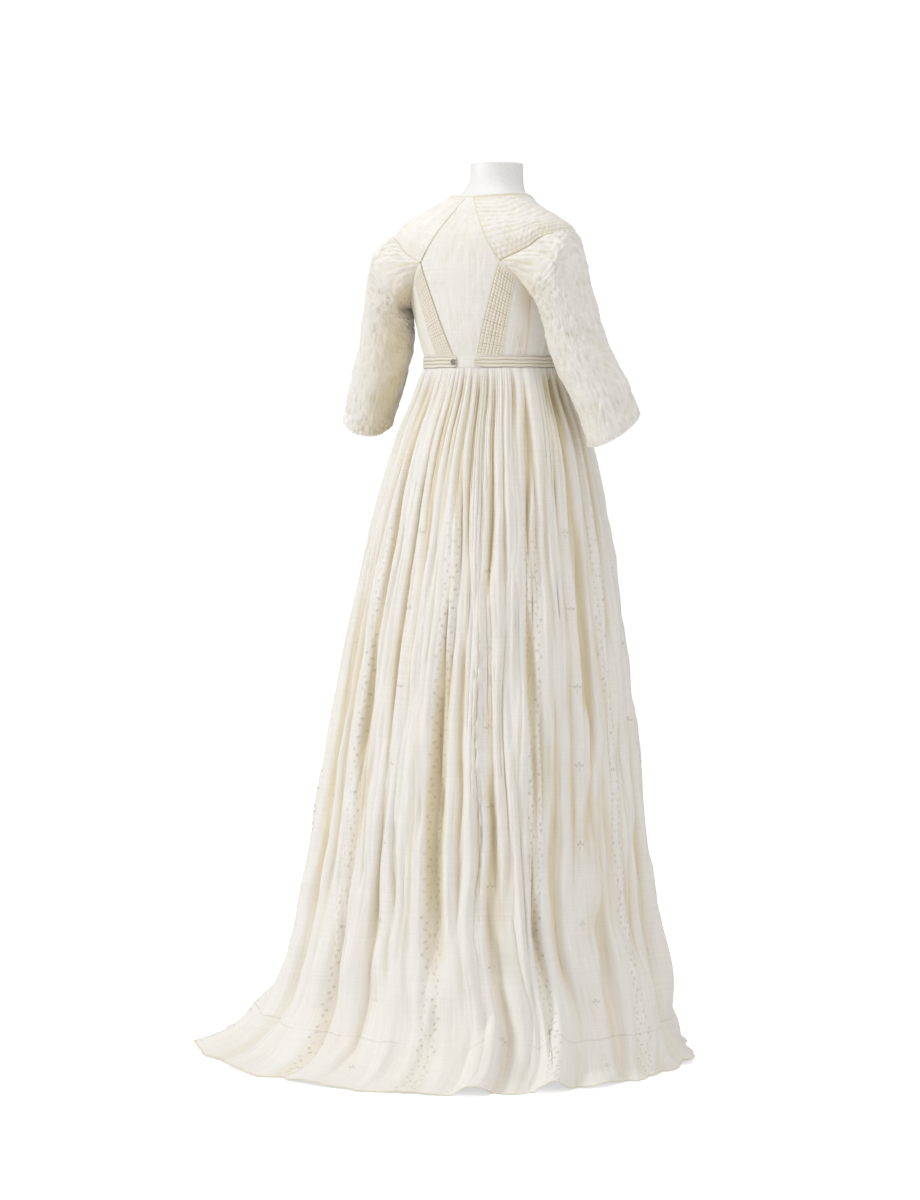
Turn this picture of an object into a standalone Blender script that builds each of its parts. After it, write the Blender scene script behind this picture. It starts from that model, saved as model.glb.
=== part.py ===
"""Regency gown on a limbless dress form. Metres, +Z up, origin under the middle of the stand's base.

The back of the gown faces +Y and its front -Y. The wearer's right is -X. Angles run round the body from
the centre back, plus toward the wearer's right. Every piece of cloth is a closed wall with its own seams.
"""

import math

import bmesh
import bpy
import numpy as np

# Sizes of the cloth
CLOTH = 0.0012
SKIRT_CLOTH = 0.0016
SEAM_GAP = 0.0003
HALF_GAP = SEAM_GAP / 2.0 + 0.00001
SKIRT_HALF_GAP = 0.00024
BINDING_WIDTH = 0.006
BINDING_CLOTH = 0.0016

# Waistband, belt and button
BAND_BOTTOM, BAND_TOP = 1.105, 1.125
BAND_CLOTH = 0.0014
BAND_STEPS = 40
BELT_BOTTOM, BELT_TOP = 1.1060, 1.1235
BELT_LIFT = 0.0018
BELT_CLOTH = 0.0012
BELT_RIDGE = 0.0010
BELT_ROWS = 6
BELT_RIDGES = 3
BELT_END_HEIGHT = 0.6
BELT_START, BELT_END = 9.0, 353.0
BUTTON_ANGLE = -9.5
BUTTON_RADIUS = 0.0045
BUTTON_THICKNESS = 0.0028
BUTTON_LIFT = 0.0044
BUTTON_SIDES = 12
BUTTON_RINGS = 6

# Dress form and stand
FORM_CLEARANCE = 0.004
WAIST_CLEARANCE = 0.0008
FORM_STEPS = BAND_STEPS
NECK_TOP = 1.441
FORM_LEVELS = (1.0, 2.2, 3.4, 4.4, 5.2, 6.0, 7.0, 8.0, 9.2, 10.5, 12.0)
FORM_BOTTOM = 0.82
POLE_RADIUS = 0.016
BASE_RADIUS = 0.150
BASE_HEIGHT = 0.014
BASE_BEVEL = 0.004
BASE_SIDES = 32
POLE_SIDES = 16
SHARP_ANGLE = math.radians(40.0)

# Torso sections, waist to neck: height, half width, depth to the back, depth to the front, widest line in Y
TORSO = np.array([
    (1.1253, 0.118, 0.091, 0.092, 0.000),
    (1.170, 0.129, 0.103, 0.105, 0.002),
    (1.220, 0.140, 0.112, 0.118, 0.008),
    (1.260, 0.150, 0.118, 0.115, 0.016),
    (1.290, 0.158, 0.117, 0.105, 0.026),
    (1.315, 0.161, 0.112, 0.092, 0.034),
    (1.335, 0.150, 0.103, 0.078, 0.037),
    (1.350, 0.128, 0.095, 0.068, 0.036),
    (1.365, 0.099, 0.087, 0.062, 0.030),
    (1.380, 0.074, 0.075, 0.058, 0.018),
    (1.391, 0.060, 0.058, 0.057, 0.004),
    (1.404, 0.051, 0.043, 0.059, -0.006),
    (1.421, 0.047, 0.035, 0.060, -0.012),
])

# Hips of the form, below the waist: height, half width, depth
HIPS = np.array([
    (0.820, 0.112, 0.086),
    (0.832, 0.124, 0.096),
    (0.880, 0.142, 0.112),
    (0.950, 0.146, 0.116),
    (1.020, 0.134, 0.106),
    (1.075, 0.120, 0.094),
])

# Corners of the bodice panels: half width and height of the back diamond
NAPE_HALF, NAPE_HEIGHT = 0.0065, 1.380
CORNER_HALF, CORNER_HEIGHT = 0.074, 1.276
WAIST_HALF = 0.022
SIDE_SEAM = 52.0
NAPE_LEVEL = 9.5
SEAM_SAMPLES = 400

# Armhole, in three runs: angle and torso level. The back and top runs start at the diamond's corner
ARMHOLE_BACK = ((40.0, 2.75), (52.0, 2.10))
ARMHOLE_FRONT = ((52.0, 2.10), (70.0, 1.80), (87.0, 1.80), (99.0, 2.10), (108.0, 2.65), (114.0, 3.40),
                 (118.0, 4.30))
ARMHOLE_TOP = ((45.0, 4.20), (55.0, 4.85), (70.0, 5.15), (84.0, 5.28), (102.0, 5.25), (114.0, 4.95),
               (118.0, 4.30))
ARMHOLE_MIDDLE = (0.040, 1.262)
ARMHOLE_REACH = (0.072, 0.057)

# Neckline: angle and torso level
NECKLINE = np.array([(0.0, 9.0), (30.0, 9.15), (60.0, 9.45), (90.0, 9.55), (118.0, 9.10),
                     (130.0, 8.45), (142.0, 7.40), (160.0, 5.85), (172.0, 5.10), (180.0, 4.90)])
FRONT_SEAM = 142.0
FRONT_WAIST = (116.0, 142.0)

# Columns and rows of the bodice panels
LOWER_ROWS = 7
UPPER_ROWS = 5
BACK_COLUMNS = 6
TUCKS = 6
TUCK_SHARE = 0.42
PLAIN_COLUMNS = 3
TUCK_HEIGHT = 0.0009
SHOULDER_GATHERS = 7
SHOULDER_HEIGHT = 0.0012
SHOULDER_FADE = (0.0, 1.0, 0.8, 0.5, 0.25, 0.0)
ARM_COLUMNS = 6
FRONT_NECK_COLUMNS = 6
FRONT_GATHER_HEIGHT = 0.0014

# Sleeve rings below the armhole: centre, half size outward and deep, lean and tilt in degrees
SLEEVE = np.array([
    # x, y, z, outward, deep, lean, tilt
    (0.157, 0.046, 1.258, 0.0565, 0.060, 73.0, 0.0),
    (0.164, 0.052, 1.2265, 0.050, 0.055, 56.0, 0.0),
    (0.172, 0.047, 1.179, 0.0445, 0.049, 33.0, 2.0),
    (0.188, 0.039, 1.121, 0.0445, 0.045, 21.0, 6.0),
    (0.217, 0.024, 1.058, 0.044, 0.044, 20.0, 16.0),
    (0.232, 0.015, 1.006, 0.043, 0.047, 18.0, 33.0),
])
SLEEVE_STEPS = (0.0, 0.7, 1.15, 1.7, 2.3, 3.0, 4.0, 5.0, 6.0)
SLEEVE_PUCKER = 0.0010
SLEEVE_SEAT = 0.6
SLEEVE_EVEN_RING = 3
SLEEVE_HEM_RISE = (("sleeve_right", 0.0), ("sleeve_left", 0.018))

# Skirt outline, waist to floor: height, half width, half depth, middle in Y, share of the floor spread
SKIRT = np.array([
    (1.1047, 0.1208, 0.0938, -0.0005, 0.0),
    (1.087, 0.130, 0.103, 0.000, 0.0),
    (1.050, 0.144, 0.118, 0.000, 0.0),
    (0.980, 0.168, 0.150, 0.000, 0.0),
    (0.870, 0.195, 0.175, 0.008, 0.0),
    (0.720, 0.225, 0.202, 0.020, 0.0),
    (0.550, 0.253, 0.227, 0.032, 0.0),
    (0.380, 0.278, 0.250, 0.044, 0.0),
    (0.220, 0.302, 0.274, 0.051, 0.0),
    (0.110, 0.326, 0.296, 0.063, 0.1),
    (0.048, 0.346, 0.318, 0.082, 0.35),
    (0.014, 0.361, 0.343, 0.099, 0.8),
    (0.000, 0.385, 0.380, 0.120, 1.0),
])

# Where the hem spreads on the floor: angle, width of the spread, reach
SPREADS = ((298.0, 60.0, 0.036), (92.0, 40.0, 0.010))

# Skirt folds, one valley a row, from the centre back round by the wearer's right:
# angle at waist, knee and hem, depth there in mm, columns to the next valley
FOLDS = np.array([
    (2, 4, 5, 4, 4, 3, 4),
    (8, 12, 13, 4, 11, 14, 4),
    (14, 20, 22, 4, 9, 5, 4),
    (20, 25, 27, 4, 4, 6, 4),
    (26, 30, 33, 5, 13, 17, 4),
    (32, 35, 39, 4, 4, 3, 4),
    (39, 41, 42, 4, 3, 4, 4),
    (48, 47, 46, 2, 16, 15, 4),
    (58, 55, 54, 2, 4, 8, 4),
    (66, 63, 61, 5, 6, 4, 4),
    (75, 71, 70, 5, 13, 14, 4),
    (84, 80, 78, 5, 4, 6, 4),
    (94, 90, 87, 5, 9, 8, 4),
    (105, 101, 97, 5, 5, 12, 3),
    (117, 112, 108, 5, 10, 5, 3),
    (129, 125, 121, 4, 4, 12, 3),
    (141, 138, 134, 4, 9, 4, 3),
    (153, 150, 147, 4, 4, 12, 3),
    (165, 163, 160, 4, 9, 4, 3),
    (177, 176, 174, 4, 4, 11, 3),
    (189, 188, 188, 4, 9, 4, 3),
    (201, 201, 202, 4, 4, 12, 3),
    (213, 214, 216, 4, 9, 4, 3),
    (225, 227, 229, 4, 4, 12, 3),
    (237, 239, 242, 4, 10, 4, 3),
    (249, 252, 255, 4, 4, 13, 3),
    (260, 264, 268, 5, 9, 5, 3),
    (271, 275, 279, 5, 4, 11, 3),
    (282, 286, 289, 5, 9, 6, 4),
    (293, 296, 298, 5, 5, 11, 4),
    (304, 306, 309, 5, 4, 4, 4),
    (314, 317, 321, 5, 10, 15, 4),
    (324, 327, 332, 5, 8, 4, 4),
    (333, 336, 341, 5, 12, 17, 4),
    (341, 343, 347, 4, 4, 3, 4),
    (348, 350, 353, 4, 8, 9, 4),
    (355, 357, 359, 4, 4, 3, 4),
], dtype=float)
ANGLE_HEIGHTS = (0.20, 0.65, 1.09)
FOLD_HEIGHTS = (0.0, 0.20, 0.65, 1.00, 1.087, 1.1047)
WAIST_FOLD = 0.0012
GATHER_SHARE = 0.55
FOLD_SHARPNESS = 1.4
FLOOR_SHARE = 0.7
HEM_LIFT = 0.010
LIFT_TOP = 0.12

# Skirt panels: first and last valley of each
PANELS = (
    ("skirt_back_right", 3, 10),
    ("skirt_side_right", 10, 15),
    ("skirt_front", 15, 24),
    ("skirt_side_left", 24, 30),
    ("skirt_back_left", 30, 40),
)

# Colours of the materials
CLOTH_ROUGHNESS = 0.9
CLOTH_COLOUR = (0.86, 0.83, 0.76, 1.0)
SKIRT_COLOUR = (0.87, 0.85, 0.79, 1.0)
BELT_COLOUR = (0.84, 0.81, 0.73, 1.0)
BUTTON_COLOUR = (0.34, 0.36, 0.28, 1.0)
FORM_COLOUR = (0.90, 0.90, 0.89, 1.0)
STAND_COLOUR = (0.78, 0.78, 0.77, 1.0)


def clear_scene():
    """Remove what the scene holds."""
    for item in list(bpy.data.objects):
        bpy.data.objects.remove(item)


def finish(name, colour, roughness=CLOTH_ROUGHNESS, metallic=0.0):
    """A Principled material of its own for one piece."""
    material = bpy.data.materials.new(name + "_finish")
    material.use_nodes = True
    shader = material.node_tree.nodes["Principled BSDF"]
    shader.inputs["Base Color"].default_value = colour
    shader.inputs["Roughness"].default_value = roughness
    shader.inputs["Metallic"].default_value = metallic
    return material


def add_object(name, bm, material):
    """Close the mesh into a named object with its faces pointing out."""
    bmesh.ops.recalc_face_normals(bm, faces=bm.faces[:])
    if bm.calc_volume(signed=True) < 0.0:
        bmesh.ops.reverse_faces(bm, faces=bm.faces[:])
    mesh = bpy.data.meshes.new(name)
    bm.to_mesh(mesh)
    bm.free()
    mesh.materials.append(material)
    piece = bpy.data.objects.new(name, mesh)
    bpy.context.scene.collection.objects.link(piece)
    return piece


def second_wall(bm):
    """Turn a plain surface into a closed wall, split alike on both sides, and give its new points."""
    bmesh.ops.triangulate(bm, faces=bm.faces[:], quad_method="FIXED")
    raised = bmesh.ops.extrude_face_region(bm, geom=bm.faces[:])
    return [item for item in raised["geom"] if isinstance(item, bmesh.types.BMVert)]


def sheet_solid(name, inner, outer, material):
    """A wall of cloth with free edges, from matching rows of inner and outer points."""
    rows, columns = inner.shape[:2]
    bm = bmesh.new()
    bmesh.ops.create_grid(bm, x_segments=columns - 1, y_segments=rows - 1, size=0.5)
    bmesh.ops.translate(bm, verts=second_wall(bm), vec=(0.0, 0.0, 1.0))
    for face in [face for face in bm.faces if len(face.verts) == 4]:
        first = min((v for v in face.verts if v.co.z < 0.5), key=lambda v: v.co.x + v.co.y)
        last = max((v for v in face.verts if v.co.z > 0.5), key=lambda v: v.co.x + v.co.y)
        bmesh.utils.face_split(face, first, last)
    for vert in bm.verts:
        column = round((vert.co.x + 0.5) * (columns - 1))
        row = round((vert.co.y + 0.5) * (rows - 1))
        wall = outer if vert.co.z > 0.5 else inner
        vert.co = wall[row, column]
    return add_object(name, bm, material)


def stacked_loops(count, steps):
    """A plain tube of stacked loops, whose points are moved to their places later."""
    bm = bmesh.new()
    bmesh.ops.create_circle(bm, segments=steps, radius=1.0)
    edges = bm.edges[:]
    for _ in range(count - 1):
        raised = bmesh.ops.extrude_edge_only(bm, edges=edges)["geom"]
        edges = [item for item in raised if isinstance(item, bmesh.types.BMEdge)]
        corners = [item for item in raised if isinstance(item, bmesh.types.BMVert)]
        bmesh.ops.translate(bm, verts=corners, vec=(0.0, 0.0, 1.0))
    return bm


def place_loops(bm, loops, outer):
    """Move the points of stacked loops to the given loops, those moved out already to the outer ones."""
    steps = loops.shape[1]
    for vert in bm.verts:
        turn = math.atan2(-vert.co.x, vert.co.y) % (2.0 * math.pi)
        wall = outer if vert.co.xy.length > 1.5 else loops
        vert.co = wall[round(vert.co.z), round(turn * steps / (2.0 * math.pi)) % steps]


def ring_solid(name, inner, outer, material):
    """A wall of cloth that closes round the body, open at both ends."""
    bm = stacked_loops(len(inner), inner.shape[1])
    bmesh.ops.scale(bm, verts=second_wall(bm), vec=(2.0, 2.0, 1.0))
    place_loops(bm, inner, outer)
    return add_object(name, bm, material)


def filled_solid(name, loops, material):
    """A solid body from stacked loops with flat ends."""
    bm = stacked_loops(len(loops), loops.shape[1])
    ends = [edge for edge in bm.edges if edge.is_boundary]
    bmesh.ops.edgeloop_fill(bm, edges=ends)
    place_loops(bm, loops, loops)
    piece = add_object(name, bm, material)
    piece.data.shade_smooth()
    piece.data.set_sharp_from_angle(angle=SHARP_ANGLE)
    return piece


def smooth(values, place):
    """Catmull-Rom curve through evenly spaced rows of values."""
    last = len(values) - 1
    place = np.clip(np.asarray(place, dtype=float), 0.0, last)
    low = np.minimum(np.floor(place).astype(int), last - 1)
    part = place - low
    if np.ndim(values) > 1:
        part = part[..., None]
    before = values[np.maximum(low - 1, 0)]
    start, end = values[low], values[low + 1]
    after = values[np.minimum(low + 2, last)]
    return 0.5 * (2.0 * start + (end - before) * part
                  + (2.0 * before - 5.0 * start + 4.0 * end - after) * part ** 2
                  + (3.0 * start - before - 3.0 * end + after) * part ** 3)


def torso(angle, level):
    """Point of the torso's surface at an angle in degrees and a level of the torso table."""
    height, half, back, front, widest = (smooth(TORSO[:, column], level) for column in range(5))
    turn = np.radians(angle)
    depth = np.where(np.cos(turn) > 0.0, back - widest, front + widest)
    return np.stack([-half * np.sin(turn), widest + depth * np.cos(turn), height], axis=-1)


def unit(vectors):
    """Vectors of length one."""
    return vectors / np.linalg.norm(vectors, axis=-1, keepdims=True)


def torso_normal(angle, level):
    """Outward direction of the torso's surface."""
    step = 0.05
    round_body = torso(angle + step, level) - torso(angle - step, level)
    up_body = torso(angle, level + step) - torso(angle, level - step)
    return unit(np.cross(round_body, up_body))


def on_back(half, height):
    """Angle and level of a point of the back, from its half width and height."""
    levels = np.linspace(0.0, NAPE_LEVEL, SEAM_SAMPLES)
    level = np.interp(height, smooth(TORSO[:, 0], levels), levels)
    angle = np.degrees(np.arcsin(np.asarray(half) / smooth(TORSO[:, 1], level)))
    return np.stack([angle, level], axis=-1)


def back_seam(half_low, low, half_high, high, steps):
    """Straight seam of the back between two half widths and heights."""
    part = np.linspace(0.0, 1.0, steps + 1)
    return on_back(half_low + (half_high - half_low) * part, low + (high - low) * part)


def armhole_run(table, shares):
    """Points of a run of the armhole at shares of its length."""
    table = np.array(table)
    fine = smooth(table, np.linspace(0.0, len(table) - 1, SEAM_SAMPLES))
    solid = torso(fine[:, 0], fine[:, 1])
    walked = np.concatenate([[0.0], np.cumsum(np.linalg.norm(np.diff(solid, axis=0), axis=1))])
    places = np.asarray(shares) * walked[-1]
    return np.stack([np.interp(places, walked, fine[:, 0]), np.interp(places, walked, fine[:, 1])], axis=-1)


def from_corner(table):
    """A run of the armhole that starts at the side corner of the back diamond."""
    return [tuple(on_back(CORNER_HALF, CORNER_HEIGHT)), *table]


def neckline(first, last, steps):
    """Points of the neckline between two angles, the same on both sides."""
    angles = np.linspace(first, last, steps + 1)
    folded = np.where(angles > 180.0, 360.0 - angles, np.abs(angles))
    return np.stack([angles, np.interp(folded, NECKLINE[:, 0], NECKLINE[:, 1])], axis=-1)


def straight(start, end, steps):
    """Evenly spaced points between two corners."""
    part = np.linspace(0.0, 1.0, steps + 1)[:, None]
    return start + (end - start) * part


def patch(bottom, top, left, right, shares):
    """Fill four edges with rows of points, in angle and level."""
    u = np.asarray(shares)[None, :, None]
    v = np.linspace(0.0, 1.0, len(left))[:, None, None]
    sides = (1.0 - u) * left[:, None] + u * right[:, None]
    ends = (1.0 - v) * bottom[None] + v * top[None]
    corners = ((1.0 - u) * (1.0 - v) * bottom[0] + u * (1.0 - v) * bottom[-1]
               + (1.0 - u) * v * top[0] + u * v * top[-1])
    return sides + ends - corners


def step_in(points, normals, distance):
    """Move a closed outline to its own left by a distance, mitred at its corners."""
    run = np.roll(points, -1, axis=0) - points
    aside = unit(np.cross(normals + np.roll(normals, -1, axis=0), run))
    before = np.roll(aside, 1, axis=0)
    share = np.sum(aside * before, axis=1, keepdims=True)
    return points + distance * (aside + before) / (1.0 + np.maximum(share, -0.5))


def rim(rows, columns):
    """Rows and columns of a grid's outline, in order round it."""
    order = [(0, c) for c in range(columns - 1)] + [(r, columns - 1) for r in range(rows - 1)]
    order += [(rows - 1, c) for c in range(columns - 1, 0, -1)] + [(r, 0) for r in range(rows - 1, 0, -1)]
    return tuple(np.array(order).T)


def panel_walls(grid, relief):
    """Inner and outer points of a bodice panel, with its edges drawn back for the seams."""
    points = torso(grid[..., 0], grid[..., 1])
    normals = torso_normal(grid[..., 0], grid[..., 1])
    outline = rim(*points.shape[:2])
    points[outline] = step_in(points[outline], normals[outline], HALF_GAP)
    return points, points + normals * (CLOTH + relief)[..., None]


def mirrored(points):
    """The same points on the wearer's other side."""
    return points * np.array([-1.0, 1.0, 1.0])


def waves(count):
    """Low and high by turns along a row, low at both ends."""
    return np.array([i % 2 for i in range(count)], dtype=float)


def side_shares():
    """Places of the side back's columns: the tucks, then the plain cloth."""
    tucks = np.linspace(0.0, TUCK_SHARE, 2 * TUCKS + 1)
    plain = np.linspace(TUCK_SHARE, 1.0, PLAIN_COLUMNS + 1)[1:]
    return np.concatenate([tucks, plain])


def build_centre_back():
    """The diamond down the middle of the back."""
    lower = back_seam(WAIST_HALF, BAND_TOP, CORNER_HALF, CORNER_HEIGHT, LOWER_ROWS)
    upper = back_seam(CORNER_HALF, CORNER_HEIGHT, NAPE_HALF, NAPE_HEIGHT, UPPER_ROWS)
    right = np.concatenate([lower, upper[1:]])
    left = right * np.array([-1.0, 1.0])
    shares = np.linspace(0.0, 1.0, BACK_COLUMNS + 1)
    bottom = straight(left[0], right[0], BACK_COLUMNS)
    top = straight(left[-1], right[-1], BACK_COLUMNS)
    grid = patch(bottom, top, left, right, shares)
    inner, outer = panel_walls(grid, np.zeros(grid.shape[:2]))
    sheet_solid("centre_back", inner, outer, finish("centre_back", CLOTH_COLOUR))


def build_side_backs():
    """The side backs, with tucks raised along the diagonal seam."""
    shares = side_shares()
    left = back_seam(WAIST_HALF, BAND_TOP, CORNER_HALF, CORNER_HEIGHT, LOWER_ROWS)
    bottom = left[0] + (np.array([SIDE_SEAM, 0.0]) - left[0]) * shares[:, None]
    top = armhole_run(from_corner(ARMHOLE_BACK), shares)
    right = straight(bottom[-1], top[-1], LOWER_ROWS)
    grid = patch(bottom, top, left, right, shares)
    relief = np.zeros(grid.shape[:2])
    relief[:, :2 * TUCKS + 1] = TUCK_HEIGHT * waves(2 * TUCKS + 1)
    relief[-1] = 0.0
    inner, outer = panel_walls(grid, relief)
    sheet_solid("side_back_right", inner, outer, finish("side_back_right", CLOTH_COLOUR))
    sheet_solid("side_back_left", mirrored(inner), mirrored(outer), finish("side_back_left", CLOTH_COLOUR))


def build_shoulders():
    """The shoulder straps, gathered toward the armhole."""
    columns = 2 * SHOULDER_GATHERS
    shares = np.linspace(0.0, 1.0, columns + 1)
    left = back_seam(CORNER_HALF, CORNER_HEIGHT, NAPE_HALF, NAPE_HEIGHT, UPPER_ROWS)
    bottom = armhole_run(from_corner(ARMHOLE_TOP), shares)
    top = neckline(left[-1, 0], FRONT_SEAM, columns)
    top[0] = left[-1]
    right = straight(bottom[-1], top[-1], UPPER_ROWS)
    grid = patch(bottom, top, left, right, shares)
    relief = SHOULDER_HEIGHT * np.array(SHOULDER_FADE)[:, None] * waves(columns + 1)[None]
    inner, outer = panel_walls(grid, relief)
    sheet_solid("shoulder_right", inner, outer, finish("shoulder_right", CLOTH_COLOUR))
    sheet_solid("shoulder_left", mirrored(inner), mirrored(outer), finish("shoulder_left", CLOTH_COLOUR))


def build_bodice_front():
    """The front of the bodice, between the side seams, gathered a little at the waist."""
    arm = armhole_run(ARMHOLE_FRONT, np.linspace(0.0, 1.0, ARM_COLUMNS + 1))
    neck = neckline(FRONT_SEAM, 180.0, FRONT_NECK_COLUMNS)
    seam = straight(arm[-1], neck[0], UPPER_ROWS)
    half = np.concatenate([arm, seam[1:], neck[1:]])
    other = half[-2::-1] * np.array([-1.0, 1.0]) + np.array([360.0, 0.0])
    top = np.concatenate([half, other])
    stops = (SIDE_SEAM, *FRONT_WAIST, 180.0)
    counts = (ARM_COLUMNS, UPPER_ROWS, FRONT_NECK_COLUMNS)
    runs = [np.linspace(stops[i], stops[i + 1], count + 1)[1:] for i, count in enumerate(counts)]
    waist = np.concatenate([[SIDE_SEAM], *runs])
    waist = np.concatenate([waist, 360.0 - waist[-2::-1]])
    bottom = np.stack([waist, np.zeros(len(waist))], axis=-1)
    shares = (waist - waist[0]) / (waist[-1] - waist[0])
    left = straight(bottom[0], top[0], LOWER_ROWS)
    right = straight(bottom[-1], top[-1], LOWER_ROWS)
    grid = patch(bottom, top, left, right, shares)
    fade = np.linspace(1.0, 0.0, LOWER_ROWS + 1)
    relief = FRONT_GATHER_HEIGHT * fade[:, None] * waves(len(waist))[None]
    inner, outer = panel_walls(grid, relief)
    sheet_solid("bodice_front", inner, outer, finish("bodice_front", CLOTH_COLOUR))


def neck_edge():
    """The neckline all round, through the same points as the panels' edges."""
    corner = on_back(NAPE_HALF, NAPE_HEIGHT)
    back = straight(corner * np.array([-1.0, 1.0]), corner, BACK_COLUMNS)
    shoulder = neckline(corner[0], FRONT_SEAM, 2 * SHOULDER_GATHERS)
    shoulder[0] = corner
    front = neckline(FRONT_SEAM, 180.0, FRONT_NECK_COLUMNS)
    side = np.concatenate([shoulder, front[1:]])
    other = side[-2:0:-1] * np.array([-1.0, 1.0]) + np.array([360.0, 0.0])
    return np.concatenate([back[:-1], side, other])


def build_neck_binding():
    """The narrow binding that continues the panels past the neckline."""
    edge = neck_edge()
    points = torso(edge[:, 0], edge[:, 1])
    normals = torso_normal(edge[:, 0], edge[:, 1])
    low = step_in(points, normals, HALF_GAP)
    high = step_in(points, normals, BINDING_WIDTH)
    walls = np.stack([low, high])
    ring_solid("neck_binding", walls, walls + normals * BINDING_CLOTH,
               finish("neck_binding", CLOTH_COLOUR))


def arm_edge():
    """The armhole all round, through the same points as the panels' edges."""
    shares = side_shares()
    seams_and_plain = np.concatenate([shares[:2 * TUCKS:2], shares[2 * TUCKS:]])
    back = armhole_run(from_corner(ARMHOLE_BACK), seams_and_plain)
    front = armhole_run(ARMHOLE_FRONT, np.linspace(0.0, 1.0, ARM_COLUMNS + 1))
    top = armhole_run(from_corner(ARMHOLE_TOP), np.linspace(0.0, 1.0, 2 * SHOULDER_GATHERS + 1))[::-1]
    return np.concatenate([back[:-1], front[:-1], top[:-1]])


def sleeve_loop(row, turns):
    """One ring of the right sleeve, from a row of the sleeve table."""
    x, y, z, outward, deep, lean, tilt = row
    lean, tilt = math.radians(lean), math.radians(tilt)
    out = np.array([-math.cos(lean), 0.0, math.sin(lean)])
    back = np.array([0.0, math.cos(tilt), -math.sin(tilt)])
    middle = np.array([-x, y, z])
    return middle + outward * np.cos(turns)[:, None] * out + deep * np.sin(turns)[:, None] * back


def build_sleeve(name, hem_rise):
    """A sleeve: a hollow tube from the armhole to its tilted hem, raised by a little on one side."""
    edge = arm_edge()
    seam = torso(edge[:, 0], edge[:, 1])
    seam_normals = torso_normal(edge[:, 0], edge[:, 1])
    start = step_in(seam + seam_normals * CLOTH * SLEEVE_SEAT, seam_normals, HALF_GAP)
    spread = (seam[:, 1:] - np.array(ARMHOLE_MIDDLE)) / np.array(ARMHOLE_REACH)
    turns = np.unwrap(np.arctan2(spread[:, 0], spread[:, 1]))
    full = math.copysign(2.0 * math.pi, turns[-1] - turns[0])
    even = np.linspace(turns[0], turns[0] + full, len(turns) + 1)[:-1]
    loops = [start]
    for number, row in enumerate(SLEEVE):
        share = min(1.0, number / SLEEVE_EVEN_RING)
        loops.append(sleeve_loop(row, turns + (even - turns) * share))
    loops[-1][:, 2] += hem_rise
    rows = np.array(loops).reshape(len(loops), -1)
    loops = smooth(rows, np.array(SLEEVE_STEPS)).reshape(-1, len(turns), 3)
    round_arm = np.roll(loops, -1, axis=1) - np.roll(loops, 1, axis=1)
    down_arm = np.gradient(loops, axis=0)
    normals = unit(np.cross(down_arm, round_arm))
    centre = loops.mean(axis=1, keepdims=True)
    normals *= np.sign(np.sum(normals * (loops - centre), axis=-1).mean())
    fade = np.interp(SLEEVE_STEPS, (0.0, 0.7, 1.15, 2.3, 6.0), (0.0, 1.0, 0.8, 0.0, 0.0))
    pucker = SLEEVE_PUCKER * fade[:, None] * waves(loops.shape[1])[None]
    outer = loops + normals * (CLOTH + pucker)[..., None]
    outer[0] = loops[0]
    loops[0] -= normals[0] * CLOTH
    if name == "sleeve_left":
        loops, outer = mirrored(loops), mirrored(outer)
    ring_solid(name, loops, outer, finish(name, CLOTH_COLOUR))


def waist_loop(angles, height, lift):
    """Points round the waist at a height, moved out by a lift."""
    level = np.zeros(len(angles))
    flat = torso_normal(angles, level) * np.array([1.0, 1.0, 0.0])
    points = torso(angles, level) + unit(flat) * lift
    points[:, 2] = height
    return points


def build_waistband():
    """The ring of the raised waist."""
    angles = np.arange(BAND_STEPS) * 360.0 / BAND_STEPS
    inner = np.stack([waist_loop(angles, h, 0.0) for h in (BAND_BOTTOM, BAND_TOP)])
    outer = np.stack([waist_loop(angles, h, BAND_CLOTH) for h in (BAND_BOTTOM, BAND_TOP)])
    ring_solid("waistband", inner, outer, finish("waistband", CLOTH_COLOUR))


def build_belt():
    """The belt over the waistband, in ridges, from its drawn-in end round the front to the button's end."""
    step = 360.0 / BAND_STEPS
    whole = np.arange(math.ceil(BELT_START / step), math.floor(BELT_END / step) + 1) * step
    angles = np.concatenate([[BELT_START], whole[whole > BELT_START + 1.0], [BELT_END]])
    middle = (BELT_BOTTOM + BELT_TOP) / 2.0
    inner, outer = [], []
    for share in np.linspace(0.0, 1.0, BELT_ROWS + 1):
        height = BELT_BOTTOM + (BELT_TOP - BELT_BOTTOM) * share
        ridge = BELT_RIDGE * math.sin(BELT_RIDGES * math.pi * share) ** 2
        low = waist_loop(angles, height, BELT_LIFT)
        high = waist_loop(angles, height, BELT_LIFT + BELT_CLOTH + ridge)
        for row in (low, high):
            row[0, 2] = middle + (height - middle) * BELT_END_HEIGHT
        inner.append(low)
        outer.append(high)
    sheet_solid("belt", np.array(inner), np.array(outer), finish("belt", BELT_COLOUR))


def build_button():
    """The thread button on the end of the belt."""
    bm = bmesh.new()
    bmesh.ops.create_uvsphere(bm, u_segments=BUTTON_SIDES, v_segments=BUTTON_RINGS, radius=1.0)
    bmesh.ops.scale(bm, verts=bm.verts[:], vec=(BUTTON_RADIUS, BUTTON_RADIUS, BUTTON_THICKNESS / 2.0))
    piece = add_object("button", bm, finish("button", BUTTON_COLOUR, 0.8))
    angle = np.array([BUTTON_ANGLE])
    height = (BELT_BOTTOM + BELT_TOP) / 2.0
    place = waist_loop(angle, height, BUTTON_LIFT + BUTTON_THICKNESS / 2.0)[0]
    facing = place - waist_loop(angle, height, 0.0)[0]
    piece.location = place
    piece.rotation_euler = (math.radians(90.0), 0.0, math.atan2(facing[1], facing[0]) + math.radians(90.0))


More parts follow.
